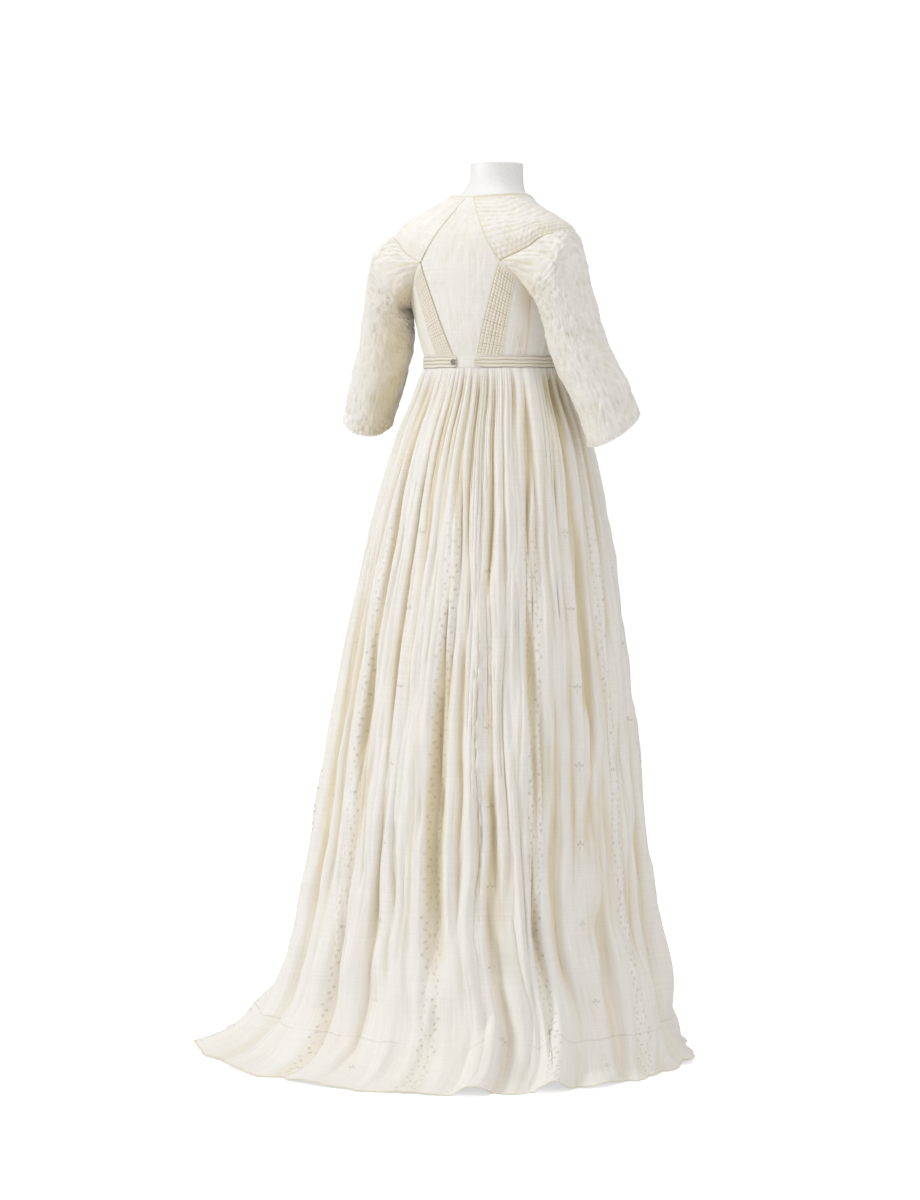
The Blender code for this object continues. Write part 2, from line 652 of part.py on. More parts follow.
def skirt_outline(angles, row):
    """Points of the skirt's outline at one row, without folds, and the way its folds run in."""
    height, half, depth, middle, _ = SKIRT[row]
    turn = np.radians(angles)
    level = np.full(len(angles), height)
    points = np.stack([-half * np.sin(turn), middle + depth * np.cos(turn), level], axis=-1)
    inward = -unit(np.stack([-np.sin(turn) / half, np.cos(turn) / depth, np.zeros(len(angles))], axis=-1))
    for at, width, reach in SPREADS:
        aside = np.clip(((angles - at + 180.0) % 360.0 - 180.0) / width, -1.0, 1.0)
        points -= inward * (reach * SKIRT[row, 4] * (0.5 + 0.5 * np.cos(math.pi * aside)))[:, None]
    return points, inward


def fold_state(number, height):
    """Angle and depth of a valley at a height."""
    turns, index = divmod(number, len(FOLDS))
    waist, knee, hem, top, middle, low, _ = FOLDS[index]
    angle = np.interp(height, ANGLE_HEIGHTS, (hem, knee, waist)) + 360.0 * turns
    depths = (low * FLOOR_SHARE, low, middle, GATHER_SHARE * top + (1.0 - GATHER_SHARE) * middle, top)
    depth = np.interp(height, FOLD_HEIGHTS, tuple(d / 1000.0 for d in depths) + (WAIST_FOLD,))
    return angle, depth


def skirt_row(row, first, last):
    """Points of one row of a panel, with its folds, and how far each lies up a ridge."""
    height = SKIRT[row, 0]
    angles, cuts, ridges = [], [], []
    for number in range(first, last):
        start, start_depth = fold_state(number, height)
        end, end_depth = fold_state(number + 1, height)
        steps = int(FOLDS[number % len(FOLDS), -1])
        for step in range(steps):
            part = step / steps
            near = (0.5 + 0.5 * math.cos(math.pi * part)) ** FOLD_SHARPNESS
            far = (0.5 - 0.5 * math.cos(math.pi * part)) ** FOLD_SHARPNESS
            angles.append(start + (end - start) * part)
            cuts.append(start_depth * near + end_depth * far)
            ridges.append(1.0 - near - far)
    angle, depth = fold_state(last, height)
    angles.append(angle)
    cuts.append(depth)
    ridges.append(0.0)
    angles = np.array(angles)
    seam = np.degrees(SKIRT_HALF_GAP / SKIRT[row, 2])
    angles[0] += seam
    angles[-1] -= seam
    points, inward = skirt_outline(angles, row)
    points += inward * np.array(cuts)[:, None]
    return points, np.array(ridges), angles


def build_skirt_panel(name, first, last):
    """One panel of the skirt, from the waistband to the floor."""
    rows, ridges, angles = zip(*(skirt_row(row, first, last) for row in range(len(SKIRT))))
    inner = np.array(rows)
    plain = np.array([skirt_outline(angle, row)[0] for row, angle in enumerate(angles)])
    down = np.gradient(plain, axis=0)
    across = np.array([skirt_outline(angle + 0.5, row)[0] - skirt_outline(angle - 0.5, row)[0]
                       for row, angle in enumerate(angles)])
    normals = unit(np.cross(down, across))
    normals[-1] = (0.0, 0.0, 1.0)
    normals[0] = unit(normals[0] * np.array([1.0, 1.0, 0.0]))
    heights = inner[..., 2]
    lift = np.clip(1.0 - heights / LIFT_TOP, 0.0, 1.0) * (heights > 0.0)
    inner[..., 2] += HEM_LIFT * lift * np.array(ridges)
    outer = inner + normals * SKIRT_CLOTH
    sheet_solid(name, inner, outer, finish(name, SKIRT_COLOUR))


def build_form():
    """The limbless torso with its neck, from the hips up."""
    angles = np.arange(FORM_STEPS) * 360.0 / FORM_STEPS
    turn = np.radians(angles)
    loops = [np.stack([-half * np.sin(turn), depth * np.cos(turn), np.full(len(turn), height)], axis=-1)
             for height, half, depth in HIPS]
    loops += [waist_loop(angles, height, -WAIST_CLEARANCE) for height in (BAND_BOTTOM, BAND_TOP)]
    for level in FORM_LEVELS:
        levels = np.full(len(angles), level)
        loops.append(torso(angles, levels) - torso_normal(angles, levels) * FORM_CLEARANCE)
    top = loops[-1].copy()
    top[:, 2] = NECK_TOP
    loops.append(top)
    filled_solid("form_torso", np.array(loops), finish("form_torso", FORM_COLOUR, 0.55))


def build_stand():
    """The pole under the form and the round base on the floor."""
    low, high = BASE_HEIGHT + SEAM_GAP, FORM_BOTTOM - SEAM_GAP
    bm = bmesh.new()
    bmesh.ops.create_cone(bm, cap_ends=True, segments=POLE_SIDES, radius1=POLE_RADIUS, radius2=POLE_RADIUS,
                          depth=high - low)
    pole = add_object("stand_pole", bm, finish("stand_pole", STAND_COLOUR, 0.4, 0.6))
    pole.location = (0.0, 0.0, (low + high) / 2.0)
    bm = bmesh.new()
    bmesh.ops.create_cone(bm, cap_ends=True, segments=BASE_SIDES, radius1=BASE_RADIUS, radius2=BASE_RADIUS,
                          depth=BASE_HEIGHT)
    base = add_object("stand_base", bm, finish("stand_base", STAND_COLOUR, 0.4, 0.6))
    base.location = (0.0, 0.0, BASE_HEIGHT / 2.0)
    edge = base.modifiers.new("Edge", "BEVEL")
    edge.width = BASE_BEVEL
    edge.segments = 2
    edge.limit_method = "ANGLE"


def main():
    """Build the form, then the gown from the bodice down."""
    clear_scene()
    build_form()
    build_stand()
    build_centre_back()
    build_side_backs()
    build_shoulders()
    build_bodice_front()
    build_neck_binding()
    for name, hem_rise in SLEEVE_HEM_RISE:
        build_sleeve(name, hem_rise)
    build_waistband()
    build_belt()
    build_button()
    for name, first, last in PANELS:
        build_skirt_panel(name, first, last)


main()
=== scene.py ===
"""Looks of the regency gown: fine cloth, print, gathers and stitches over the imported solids.

Angles run round the body in degrees from the centre back, plus toward the wearer's right. The back of the
gown faces +Y, its front -Y and the wearer's right -X. Lengths are in metres.
"""

import logging
import math
from dataclasses import dataclass
from enum import Enum
from typing import Optional, Sequence, Union

import bmesh
import bpy
import numpy as np
from mathutils import Matrix, Vector, noise


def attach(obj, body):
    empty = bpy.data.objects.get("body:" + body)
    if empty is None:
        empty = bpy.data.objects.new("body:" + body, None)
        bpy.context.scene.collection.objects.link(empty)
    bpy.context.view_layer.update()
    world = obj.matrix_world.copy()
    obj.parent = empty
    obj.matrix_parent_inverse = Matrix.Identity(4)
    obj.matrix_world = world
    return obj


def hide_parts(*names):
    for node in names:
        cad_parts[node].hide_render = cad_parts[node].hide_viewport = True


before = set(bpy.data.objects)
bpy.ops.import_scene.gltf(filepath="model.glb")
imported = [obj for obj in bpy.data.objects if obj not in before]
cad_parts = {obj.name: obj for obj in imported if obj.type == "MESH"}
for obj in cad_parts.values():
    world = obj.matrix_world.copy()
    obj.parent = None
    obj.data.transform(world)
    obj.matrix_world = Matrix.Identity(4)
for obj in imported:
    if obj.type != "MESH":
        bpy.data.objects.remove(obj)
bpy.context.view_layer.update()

LOG = logging.getLogger("gown")
BODY = "root"
UV_NAME = "Cloth"
# Valley: how much painted warm fold shade each point of the cloth gets
DEPTH_NAME = "Valley"
SPREAD_NAME = "Spread"

# Torso sections, waist to neck: height, half width, depth to the back, depth to the front, widest line in Y
TORSO_SECTIONS = (
    (1.1253, 0.118, 0.091, 0.092, 0.000),
    (1.170, 0.129, 0.103, 0.105, 0.002),
    (1.220, 0.140, 0.112, 0.118, 0.008),
    (1.260, 0.150, 0.118, 0.115, 0.016),
    (1.290, 0.158, 0.117, 0.105, 0.026),
    (1.315, 0.161, 0.112, 0.092, 0.034),
    (1.335, 0.150, 0.103, 0.078, 0.037),
    (1.350, 0.128, 0.095, 0.068, 0.036),
    (1.365, 0.099, 0.087, 0.062, 0.030),
    (1.380, 0.074, 0.075, 0.058, 0.018),
    (1.391, 0.060, 0.058, 0.057, 0.004),
    (1.404, 0.051, 0.043, 0.059, -0.006),
    (1.421, 0.047, 0.035, 0.060, -0.012),
)

# Armhole, in three runs, and neckline: angle and torso level
ARMHOLE_BACK = ((40.0, 2.75), (52.0, 2.10))
ARMHOLE_FRONT = ((52.0, 2.10), (70.0, 1.80), (87.0, 1.80), (99.0, 2.10), (108.0, 2.65), (114.0, 3.40),
                 (118.0, 4.30))
ARMHOLE_TOP = ((45.0, 4.20), (55.0, 4.85), (70.0, 5.15), (84.0, 5.28), (102.0, 5.25), (114.0, 4.95),
               (118.0, 4.30))
NECKLINE = ((0.0, 9.0), (30.0, 9.15), (60.0, 9.45), (90.0, 9.55), (118.0, 9.10),
            (130.0, 8.45), (142.0, 7.40), (160.0, 5.85), (172.0, 5.10), (180.0, 4.90))

# Sleeve rings: centre x, y, z, half size outward and deep, lean and tilt in degrees
SLEEVE_RINGS = (
    (0.157, 0.046, 1.258, 0.0565, 0.060, 73.0, 0.0),
    (0.164, 0.052, 1.2265, 0.050, 0.055, 56.0, 0.0),
    (0.172, 0.047, 1.179, 0.0445, 0.049, 33.0, 2.0),
    (0.188, 0.039, 1.121, 0.0445, 0.045, 21.0, 6.0),
    (0.217, 0.024, 1.058, 0.044, 0.044, 20.0, 16.0),
    (0.232, 0.015, 1.006, 0.043, 0.047, 18.0, 33.0),
)

# Skirt outline, waist to floor: height, half width, half depth, middle in Y, share of the spread on the floor
SKIRT_OUTLINE = (
    (1.1047, 0.1208, 0.0938, -0.0005, 0.0),
    (1.087, 0.130, 0.103, 0.000, 0.0),
    (1.050, 0.144, 0.118, 0.000, 0.0),
    (0.980, 0.168, 0.150, 0.000, 0.0),
    (0.870, 0.195, 0.175, 0.008, 0.0),
    (0.720, 0.225, 0.202, 0.020, 0.0),
    (0.550, 0.253, 0.227, 0.032, 0.0),
    (0.380, 0.278, 0.250, 0.044, 0.0),
    (0.220, 0.302, 0.274, 0.051, 0.0),
    (0.110, 0.326, 0.296, 0.063, 0.1),
    (0.048, 0.346, 0.318, 0.082, 0.35),
    (0.014, 0.361, 0.343, 0.099, 0.8),
    (0.000, 0.385, 0.380, 0.120, 1.0),
)

# Skirt folds, one valley a row: angle at waist, knee and hem, depth there in mm
SKIRT_FOLDS = (
    (2, 4, 5, 4, 4, 3),
    (8, 12, 13, 4, 11, 14),
    (14, 20, 22, 4, 9, 5),
    (20, 25, 27, 4, 4, 6),
    (26, 30, 33, 5, 13, 17),
    (32, 35, 39, 4, 4, 3),
    (39, 41, 42, 4, 3, 4),
    (48, 47, 46, 2, 16, 15),
    (58, 55, 54, 2, 4, 8),
    (66, 63, 61, 8, 6, 4),
    (75, 71, 70, 9, 13, 14),
    (84, 80, 78, 7, 4, 6),
    (94, 90, 87, 5, 9, 8),
    (105, 101, 97, 5, 5, 12),
    (117, 112, 108, 5, 10, 5),
    (129, 125, 121, 4, 4, 12),
    (141, 138, 134, 4, 9, 4),
    (153, 150, 147, 4, 4, 12),
    (165, 163, 160, 4, 9, 4),
    (177, 176, 174, 4, 4, 11),
    (189, 188, 188, 4, 9, 4),
    (201, 201, 202, 4, 4, 12),
    (213, 214, 216, 4, 9, 4),
    (225, 227, 229, 4, 4, 12),
    (237, 239, 242, 4, 10, 4),
    (249, 252, 255, 4, 4, 13),
    (260, 264, 268, 5, 9, 5),
    (271, 275, 279, 5, 4, 11),
    (282, 286, 289, 5, 9, 6),
    (293, 296, 298, 5, 5, 11),
    (304, 306, 309, 5, 4, 4),
    (314, 317, 321, 5, 10, 15),
    (324, 327, 332, 5, 8, 4),
    (333, 336, 341, 5, 12, 17),
    (341, 343, 347, 4, 4, 3),
    (348, 350, 353, 4, 8, 9),
    (355, 357, 359, 4, 4, 3),
)

# Creases of the centre back: start across and up, end across and up (shares), width and rise in mm
CENTRE_CREASES = (
    (0.24, 0.12, 0.31, 0.55, 2.6, 0.5),
    (0.33, 0.04, 0.37, 0.70, 2.0, -0.4),
    (0.42, 0.20, 0.43, 0.86, 2.4, 0.5),
    (0.50, 0.10, 0.49, 0.62, 1.8, -0.5),
    (0.56, 0.02, 0.55, 0.50, 2.2, 0.5),
    (0.62, 0.24, 0.60, 0.80, 2.0, -0.4),
    (0.69, 0.08, 0.66, 0.56, 2.6, 0.6),
    (0.77, 0.30, 0.72, 0.72, 2.2, -0.4),
    (0.84, 0.36, 0.78, 0.66, 2.4, 0.5),
    (0.47, 0.62, 0.50, 0.94, 2.8, -0.4),
)

# Broad creases of the shoulders
SHOULDER_CREASES = (
    (0.05, 0.55, 0.60, 0.62, 4.0, 0.4),
    (0.10, 0.30, 0.70, 0.34, 3.5, -0.4),
    (0.55, 0.40, 0.95, 0.70, 3.0, 0.5),
)

# Creases of the bodice front, drooping from the neck toward the waist
FRONT_CREASES = (
    (0.30, 0.10, 0.38, 0.62, 5.0, 0.9),
    (0.36, 0.05, 0.42, 0.50, 4.0, -0.9),
    (0.43, 0.08, 0.46, 0.68, 4.5, 0.9),
    (0.54, 0.06, 0.53, 0.60, 4.0, -0.8),
    (0.60, 0.08, 0.57, 0.66, 5.0, 1.0),
    (0.67, 0.12, 0.62, 0.56, 4.0, -0.9),
    (0.22, 0.16, 0.28, 0.46, 4.0, 0.7),
    (0.76, 0.14, 0.71, 0.48, 4.0, 0.7),
)

# Creases of the sleeves: start round and down, end round and down (shares), width and rise in mm
SLEEVE_CREASES = (
    (0.02, 0.05, 0.10, 0.26, 5.0, -2.2),
    (0.10, 0.06, 0.20, 0.22, 4.5, -1.8),
    (0.93, 0.08, 0.96, 0.30, 5.0, -1.6),
    (0.86, 0.07, 0.88, 0.24, 4.5, -1.5),
    (0.79, 0.07, 0.80, 0.27, 5.0, -1.5),
    (0.72, 0.07, 0.71, 0.22, 4.5, -1.3),
    (0.06, 0.34, 0.26, 0.44, 5.0, -1.4),
    (0.98, 0.44, 0.84, 0.56, 6.0, 1.2),
    (0.10, 0.52, 0.24, 0.50, 5.0, 1.2),
    (0.04, 0.60, 0.20, 0.70, 5.5, -1.3),
    (0.90, 0.64, 0.78, 0.70, 6.0, -1.1),
    (0.02, 0.74, 0.16, 0.84, 5.0, 1.0),
    (0.93, 0.80, 0.80, 0.86, 6.0, 1.0),
    (0.40, 0.30, 0.55, 0.42, 5.0, -1.3),
    (0.36, 0.48, 0.56, 0.54, 5.0, 1.2),
    (0.42, 0.66, 0.60, 0.76, 5.5, -1.2),
    (0.64, 0.52, 0.70, 0.72, 5.5, 0.9),
)


class Side(Enum):
    """The wearer's side that a piece is made for."""

    RIGHT = 1.0
    LEFT = -1.0

    @property
    def word(self) -> str:
        """The side's name as the nodes spell it."""
        return self.name.lower()

    def place(self, points: np.ndarray) -> np.ndarray:
        """Points of the right side, moved to this side."""
        return points * np.array([self.value, 1.0, 1.0])


class Held(Enum):
    """How a sheet of cloth is held."""

    STRETCHED = "stretched"
    HUNG = "hung"
    GATHERED = "gathered"


def smooth(values: np.ndarray, place: Union[float, np.ndarray]) -> np.ndarray:
    """Catmull-Rom curve through evenly spaced rows of values.

    Args:
        values: One value or one row of values for each stop.
        place: Where to read it, counted in stops.

    Returns:
        The values there.
    """
    last = len(values) - 1
    place = np.clip(np.asarray(place, dtype=float), 0.0, last)
    low = np.minimum(np.floor(place).astype(int), last - 1)
    part = place - low
    if np.ndim(values) > 1:
        part = part[..., None]
    before = values[np.maximum(low - 1, 0)]
    start, end = values[low], values[low + 1]
    after = values[np.minimum(low + 2, last)]
    return 0.5 * (2.0 * start + (end - before) * part
                  + (2.0 * before - 5.0 * start + 4.0 * end - after) * part ** 2
                  + (3.0 * start - before - 3.0 * end + after) * part ** 3)


def bend(place: np.ndarray, stops: Sequence[float], values: np.ndarray) -> np.ndarray:
    """Soft curve through unevenly spaced stops.

    Args:
        place: Where to read the curve.
        stops: Rising places of the stops.
        values: One row of values for each stop.

    Returns:
        One row of values for each place.
    """
    stops = np.asarray(stops, dtype=float)
    slopes = np.gradient(values, stops, axis=0)
    place = np.clip(place, stops[0], stops[-1])
    low = np.clip(np.searchsorted(stops, place, side="right") - 1, 0, len(stops) - 2)
    span = (stops[low + 1] - stops[low])[:, None]
    part = (place - stops[low])[:, None] / span
    square, cube = part ** 2, part ** 3
    return ((2.0 * cube - 3.0 * square + 1.0) * values[low]
            + (cube - 2.0 * square + part) * span * slopes[low]
            + (3.0 * square - 2.0 * cube) * values[low + 1]
            + (cube - square) * span * slopes[low + 1])


def unit(vectors: np.ndarray) -> np.ndarray:
    """Vectors of length one."""
    return vectors / np.maximum(np.linalg.norm(vectors, axis=-1, keepdims=True), 1e-12)


def rise(values: np.ndarray, low: float, high: float) -> np.ndarray:
    """Soft step from 0 at low to 1 at high.

    Args:
        values: Where to read the step.
        low: Where it starts.
        high: Where it ends.

    Returns:
        One share for each value.
    """
    part = np.clip((values - low) / (high - low), 0.0, 1.0)
    return part * part * (3.0 - 2.0 * part)


def hump(values: np.ndarray, middle: float, width: float) -> np.ndarray:
    """Soft hump of height one round a middle."""
    return np.exp(-((values - middle) / width) ** 2)


def crumple(points: np.ndarray, size: tuple[float, float, float], seed: float, octaves: int = 2
            ) -> np.ndarray:
    """Uneven soft relief from about -1 to 1.

    Args:
        points: Places in space, or round a tube.
        size: Size of its lumps along each axis.
        seed: Picks another pattern.
        octaves: How many finer layers it has.

    Returns:
        One value for each point.
    """
    flat = (points / np.array(size)).reshape(-1, 3) + seed
    values = [noise.fractal(Vector(row), 0.8, 2.1, octaves, noise_basis="PERLIN_ORIGINAL") for row in flat]
    return np.array(values).reshape(points.shape[:-1]) * 1.6


def tube(turn: np.ndarray, along: np.ndarray, radius: float) -> np.ndarray:
    """Places round a plain tube, so that what is read there closes without a seam.

    Args:
        turn: Angle round the tube in radians.
        along: Distance along it.
        radius: Its radius.

    Returns:
        One place in space for each point.
    """
    turn, along = np.broadcast_arrays(turn, along)
    return np.stack([radius * np.cos(turn), radius * np.sin(turn), along], axis=-1)


def creases(across: np.ndarray, up: np.ndarray, size: tuple[float, float], table: Sequence[Sequence[float]],
            wrap: bool = False) -> np.ndarray:
    """Relief of creases at listed places.

    Args:
        across: Share of each point across the piece.
        up: Share of each point along the piece.
        size: Width and length of the piece.
        table: Rows of start across and up, end across and up, width and rise in mm.
        wrap: Whether the piece closes round.

    Returns:
        The rise of each point, in metres.
    """
    total = np.zeros(np.broadcast(across, up).shape)
    for start_across, start_up, end_across, end_up, width, height in table:
        run_x = (end_across - start_across) * size[0]
        run_y = (end_up - start_up) * size[1]
        away_x = across - start_across
        if wrap:
            away_x = (away_x + 0.5) % 1.0 - 0.5
        away_x = away_x * size[0]
        away_y = (up - start_up) * size[1]
        part = np.clip((away_x * run_x + away_y * run_y) / (run_x ** 2 + run_y ** 2), 0.0, 1.0)
        bow = 0.0015 * np.sin(9.0 * part + 40.0 * height)
        gap = np.hypot(away_x - part * run_x + bow, away_y - part * run_y)
        total = total + height * 0.001 * hump(gap, 0.0, width * 0.001) * np.sqrt(4.0 * part * (1.0 - part))
    return total


def step_in(points: np.ndarray, normals: np.ndarray, distance: float) -> np.ndarray:
    """Move a closed outline to its own left.

    Args:
        points: The outline's points in order.
        normals: Outward directions at them.
        distance: How far it moves.

    Returns:
        The moved points, mitred at the corners.
    """
    run = np.roll(points, -1, axis=0) - points
    aside = unit(np.cross(normals + np.roll(normals, -1, axis=0), run))
    before = np.roll(aside, 1, axis=0)
    share = np.sum(aside * before, axis=1, keepdims=True)
    return points + distance * (aside + before) / (1.0 + np.maximum(share, -0.5))


def grid_normals(points: np.ndarray, closed: bool = False) -> np.ndarray:
    """Directions across a grid of points, turned away from the body's middle line.

    Args:
        points: Rows and columns of points.
        closed: Whether the last column meets the first.

    Returns:
        One direction for each point.
    """
    if closed:
        across = np.roll(points, -1, axis=1) - np.roll(points, 1, axis=1)
    else:
        across = np.gradient(points, axis=1)
    normals = unit(np.cross(across, np.gradient(points, axis=0)))
    centre = points.mean(axis=1, keepdims=True) if closed else np.array([0.0, 0.0, 1.0]) * points
    return normals * np.sign(np.sum(normals * (points - centre), axis=-1).mean())


def cloth_places(points: np.ndarray) -> np.ndarray:
    """Cloth coordinates of a grid: metres across from its middle, and metres along.

    Args:
        points: Rows and columns of points.

    Returns:
        Two coordinates for each point.
    """
    across = np.linalg.norm(np.diff(points, axis=1), axis=-1)
    across = np.concatenate([np.zeros((len(points), 1)), np.cumsum(across, axis=1)], axis=1)
    across -= across.mean(axis=1, keepdims=True)
    along = np.linalg.norm(np.diff(points, axis=0), axis=-1).mean(axis=1)
    along = np.concatenate([[0.0], np.cumsum(along)])[:, None] * np.ones((1, points.shape[1]))
    return np.stack([across, along], axis=-1)


def add_attributes(mesh: bpy.types.Mesh, places: np.ndarray, values: dict[str, np.ndarray]) -> None:
    """Give a mesh its cloth coordinates and its named values, one for each point.

    Args:
        mesh: The mesh.
        places: Cloth coordinates of its points.
        values: Named values of its points.
    """
    corners = np.zeros(len(mesh.loops), dtype=np.int32)
    mesh.loops.foreach_get("vertex_index", corners)
    layer = mesh.uv_layers.new(name=UV_NAME)
    layer.uv.foreach_set("vector", places[corners].astype(np.float32).ravel())
    for name, numbers in values.items():
        attribute = mesh.attributes.new(name, "FLOAT", "POINT")
        attribute.data.foreach_set("value", numbers.astype(np.float32))


def crisp_border(mesh: bpy.types.Mesh) -> None:
    """Mark a mesh's open edges sharp, so that its face is shaded evenly up to them."""
    bm = bmesh.new()
    bm.from_mesh(mesh)
    for edge in bm.edges:
        edge.smooth = not edge.is_boundary
    bm.to_mesh(mesh)
    bm.free()


def cloth_object(name: str, points: np.ndarray, places: np.ndarray, valleys: np.ndarray, thickness: float,
                 closed: bool = False, spread: Optional[np.ndarray] = None) -> bpy.types.Object:
    """Make a thin shell of cloth from a grid of points on its outer face.

    Args:
        name: The piece's name.
        points: Rows and columns of points.
        places: Cloth coordinates of the same rows and columns.
        valleys: How much painted warm fold shade each point gets, from 0 to 1.
        thickness: Thickness of the cloth, which lies inside the points.
        closed: Whether the last column is welded to the first.
        spread: How wide the cloth lies at each point, against its cut.

    Returns:
        The new object.
    """
    if closed:
        points = np.concatenate([points, points[:, :1]], axis=1)
        valleys = np.concatenate([valleys, valleys[:, :1]], axis=1)
    rows, columns = points.shape[:2]
    bm = bmesh.new()
    bmesh.ops.create_grid(bm, x_segments=columns - 1, y_segments=rows - 1, size=0.5)
    mesh = bpy.data.meshes.new(name)
    bm.to_mesh(mesh)
    bm.free()
    flat = np.zeros(len(mesh.vertices) * 3, dtype=np.float32)
    mesh.vertices.foreach_get("co", flat)
    flat = flat.reshape(-1, 3)
    column = np.rint((flat[:, 0] + 0.5) * (columns - 1)).astype(int)
    row = np.rint((flat[:, 1] + 0.5) * (rows - 1)).astype(int)
    mesh.vertices.foreach_set("co", points[row, column].astype(np.float32).ravel())
    values = {DEPTH_NAME: valleys[row, column]}
    if spread is not None:
        values[SPREAD_NAME] = spread[row, column]
    add_attributes(mesh, places[row, column], values)
    mesh.update()
    outward = grid_normals(points[:, :-1] if closed else points, closed)
    facing = np.zeros(len(mesh.vertices) * 3, dtype=np.float32)
    mesh.vertices.foreach_get("normal", facing)
    columns_left = np.minimum(column, outward.shape[1] - 1)
    if np.sum(facing.reshape(-1, 3) * outward[row, columns_left]) < 0.0:
        mesh.flip_normals()
    if closed:
        bm = bmesh.new()
        bm.from_mesh(mesh)
        edge = [v for v in bm.verts if v.is_boundary]
        bmesh.ops.remove_doubles(bm, verts=edge, dist=0.00001)
        bm.to_mesh(mesh)
        bm.free()
    mesh.shade_smooth()
    crisp_border(mesh)
    piece = bpy.data.objects.new(name, mesh)
    bpy.context.scene.collection.objects.link(piece)
    shell = piece.modifiers.new("Thickness", "SOLIDIFY")
    shell.thickness = thickness
    shell.offset = -1.0
    return piece


def mesh_object(name: str, bm: bmesh.types.BMesh) -> bpy.types.Object:
    """Make an object of a finished mesh, smooth but for its sharp edges.

    Args:
        name: The object's name.
        bm: The mesh, which is freed.

    Returns:
        The new object.
    """
    bmesh.ops.recalc_face_normals(bm, faces=bm.faces[:])
    mesh = bpy.data.meshes.new(name)
    bm.to_mesh(mesh)
    bm.free()
    mesh.shade_smooth()
    mesh.set_sharp_from_angle(angle=math.radians(40.0))
    piece = bpy.data.objects.new(name, mesh)
    bpy.context.scene.collection.objects.link(piece)
    return piece


def dress(piece: bpy.types.Object, material: bpy.types.Material,
          node: Optional[str] = None) -> bpy.types.Object:
    """Give a piece its material and its place on the body.

    Args:
        piece: The new piece.
        material: Its finish.
        node: The solid that it stands in for, if any.

    Returns:
        The same piece.
    """
    piece.data.materials.clear()
    piece.data.materials.append(material)
    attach(piece, BODY)
    if node:
        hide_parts(node)
    LOG.info("%s: %d faces", piece.name, len(piece.data.polygons))
    return piece


def cut_out(piece: bpy.types.Object, points: np.ndarray, flat: tuple[float, float]) -> None:
    """State a sheet's cut: its flat size, and its area as it is shaped.

    Args:
        piece: The cloth.
        points: Rows and columns of points on its face.
        flat: Width and length that it is cut from.
    """
    across = np.diff(points, axis=1)[:-1]
    along = np.diff(points, axis=0)[:, :-1]
    area = float(np.linalg.norm(np.cross(across, along), axis=-1).sum())
    width, length = round(flat[0], 3), round(flat[1], 3)
    area = round(min(max(area, 0.3 * width * length), width * length), 4)
    LOG.info("%s: cut %.3f by %.3f, area %.4f", piece.name, width, length, area)


Value = Union[float, bpy.types.NodeSocket]


class NodeTree:
    """Short calls that build a tree of shader nodes."""

    def __init__(self, tree: bpy.types.NodeTree) -> None:
        """Keep the tree that the calls add to."""
        self.tree = tree

    def add(self, kind: str, **settings: object) -> bpy.types.Node:
        """Add a node and set its options."""
        node = self.tree.nodes.new(kind)
        for key, value in settings.items():
            setattr(node, key, value)
        return node

    def feed(self, socket: bpy.types.NodeSocket, value: object) -> None:
        """Link a socket to another, or set its number or colour."""
        if isinstance(value, bpy.types.NodeSocket):
            self.tree.links.new(value, socket)
        else:
            socket.default_value = value

    def math(self, operation: str, first: Value, second: Value = 0.0, third: Value = 0.0
             ) -> bpy.types.NodeSocket:
        """One sum of up to three values.

        Args:
            operation: Blender's name of the sum.
            first: A number or a socket.
            second: Another.
            third: A third one, where the sum has it.

        Returns:
            The result's socket.
        """
        node = self.add("ShaderNodeMath", operation=operation)
        for socket, value in zip(node.inputs, (first, second, third)):
            self.feed(socket, value)
        return node.outputs[0]

    def fade(self, value: Value, low: float, high: float, start: float = 0.0, end: float = 1.0
             ) -> bpy.types.NodeSocket:
        """Soft step between two values.

        Args:
            value: What is stepped.
            low: Where the step starts.
            high: Where it ends.
            start: Result below the step.
            end: Result above it.

        Returns:
            The result's socket.
        """
        node = self.add("ShaderNodeMapRange", interpolation_type="SMOOTHSTEP")
        for name, item in (("Value", value), ("From Min", low), ("From Max", high), ("To Min", start),
                           ("To Max", end)):
            self.feed(node.inputs[name], item)
        return node.outputs["Result"]

    def blend(self, share: Value, first: object, second: object, how: str = "MIX") -> bpy.types.NodeSocket:
        """Mix two colours.

        Args:
            share: How much of the second.
            first: The first colour.
            second: The second colour.
            how: Blender's name of the mix.

        Returns:
            The colour's socket.
        """
        node = self.add("ShaderNodeMix", data_type="RGBA", blend_type=how)
        self.feed(node.inputs[0], share)
        self.feed(node.inputs[6], first)
        self.feed(node.inputs[7], second)
        return node.outputs[2]

    def noise(self, vector: Value, scale: float, detail: float = 2.0, roughness: float = 0.5
              ) -> bpy.types.NodeSocket:
        """Noise at a place.

        Args:
            vector: The place.
            scale: How fine it is.
            detail: How many finer layers.
            roughness: How strong they are.

        Returns:
            The value's socket.
        """
        node = self.add("ShaderNodeTexNoise")
        self.feed(node.inputs["Vector"], vector)
        node.inputs["Scale"].default_value = scale
        node.inputs["Detail"].default_value = detail
        node.inputs["Roughness"].default_value = roughness
        return node.outputs["Fac"]

    def stretch(self, vector: Value, scale: tuple[float, float, float]) -> bpy.types.NodeSocket:
        """A place with each axis scaled."""
        node = self.add("ShaderNodeMapping")
        self.feed(node.inputs["Vector"], vector)
        node.inputs["Scale"].default_value = scale
        return node.outputs["Vector"]

    def group(self, group: bpy.types.NodeTree, **values: object) -> bpy.types.Node:
        """Place a node group and feed its named inputs."""
        node = self.add("ShaderNodeGroup")
        node.node_tree = group
        for key, value in values.items():
            self.feed(node.inputs[key.replace("_", " ")], value)
        return node


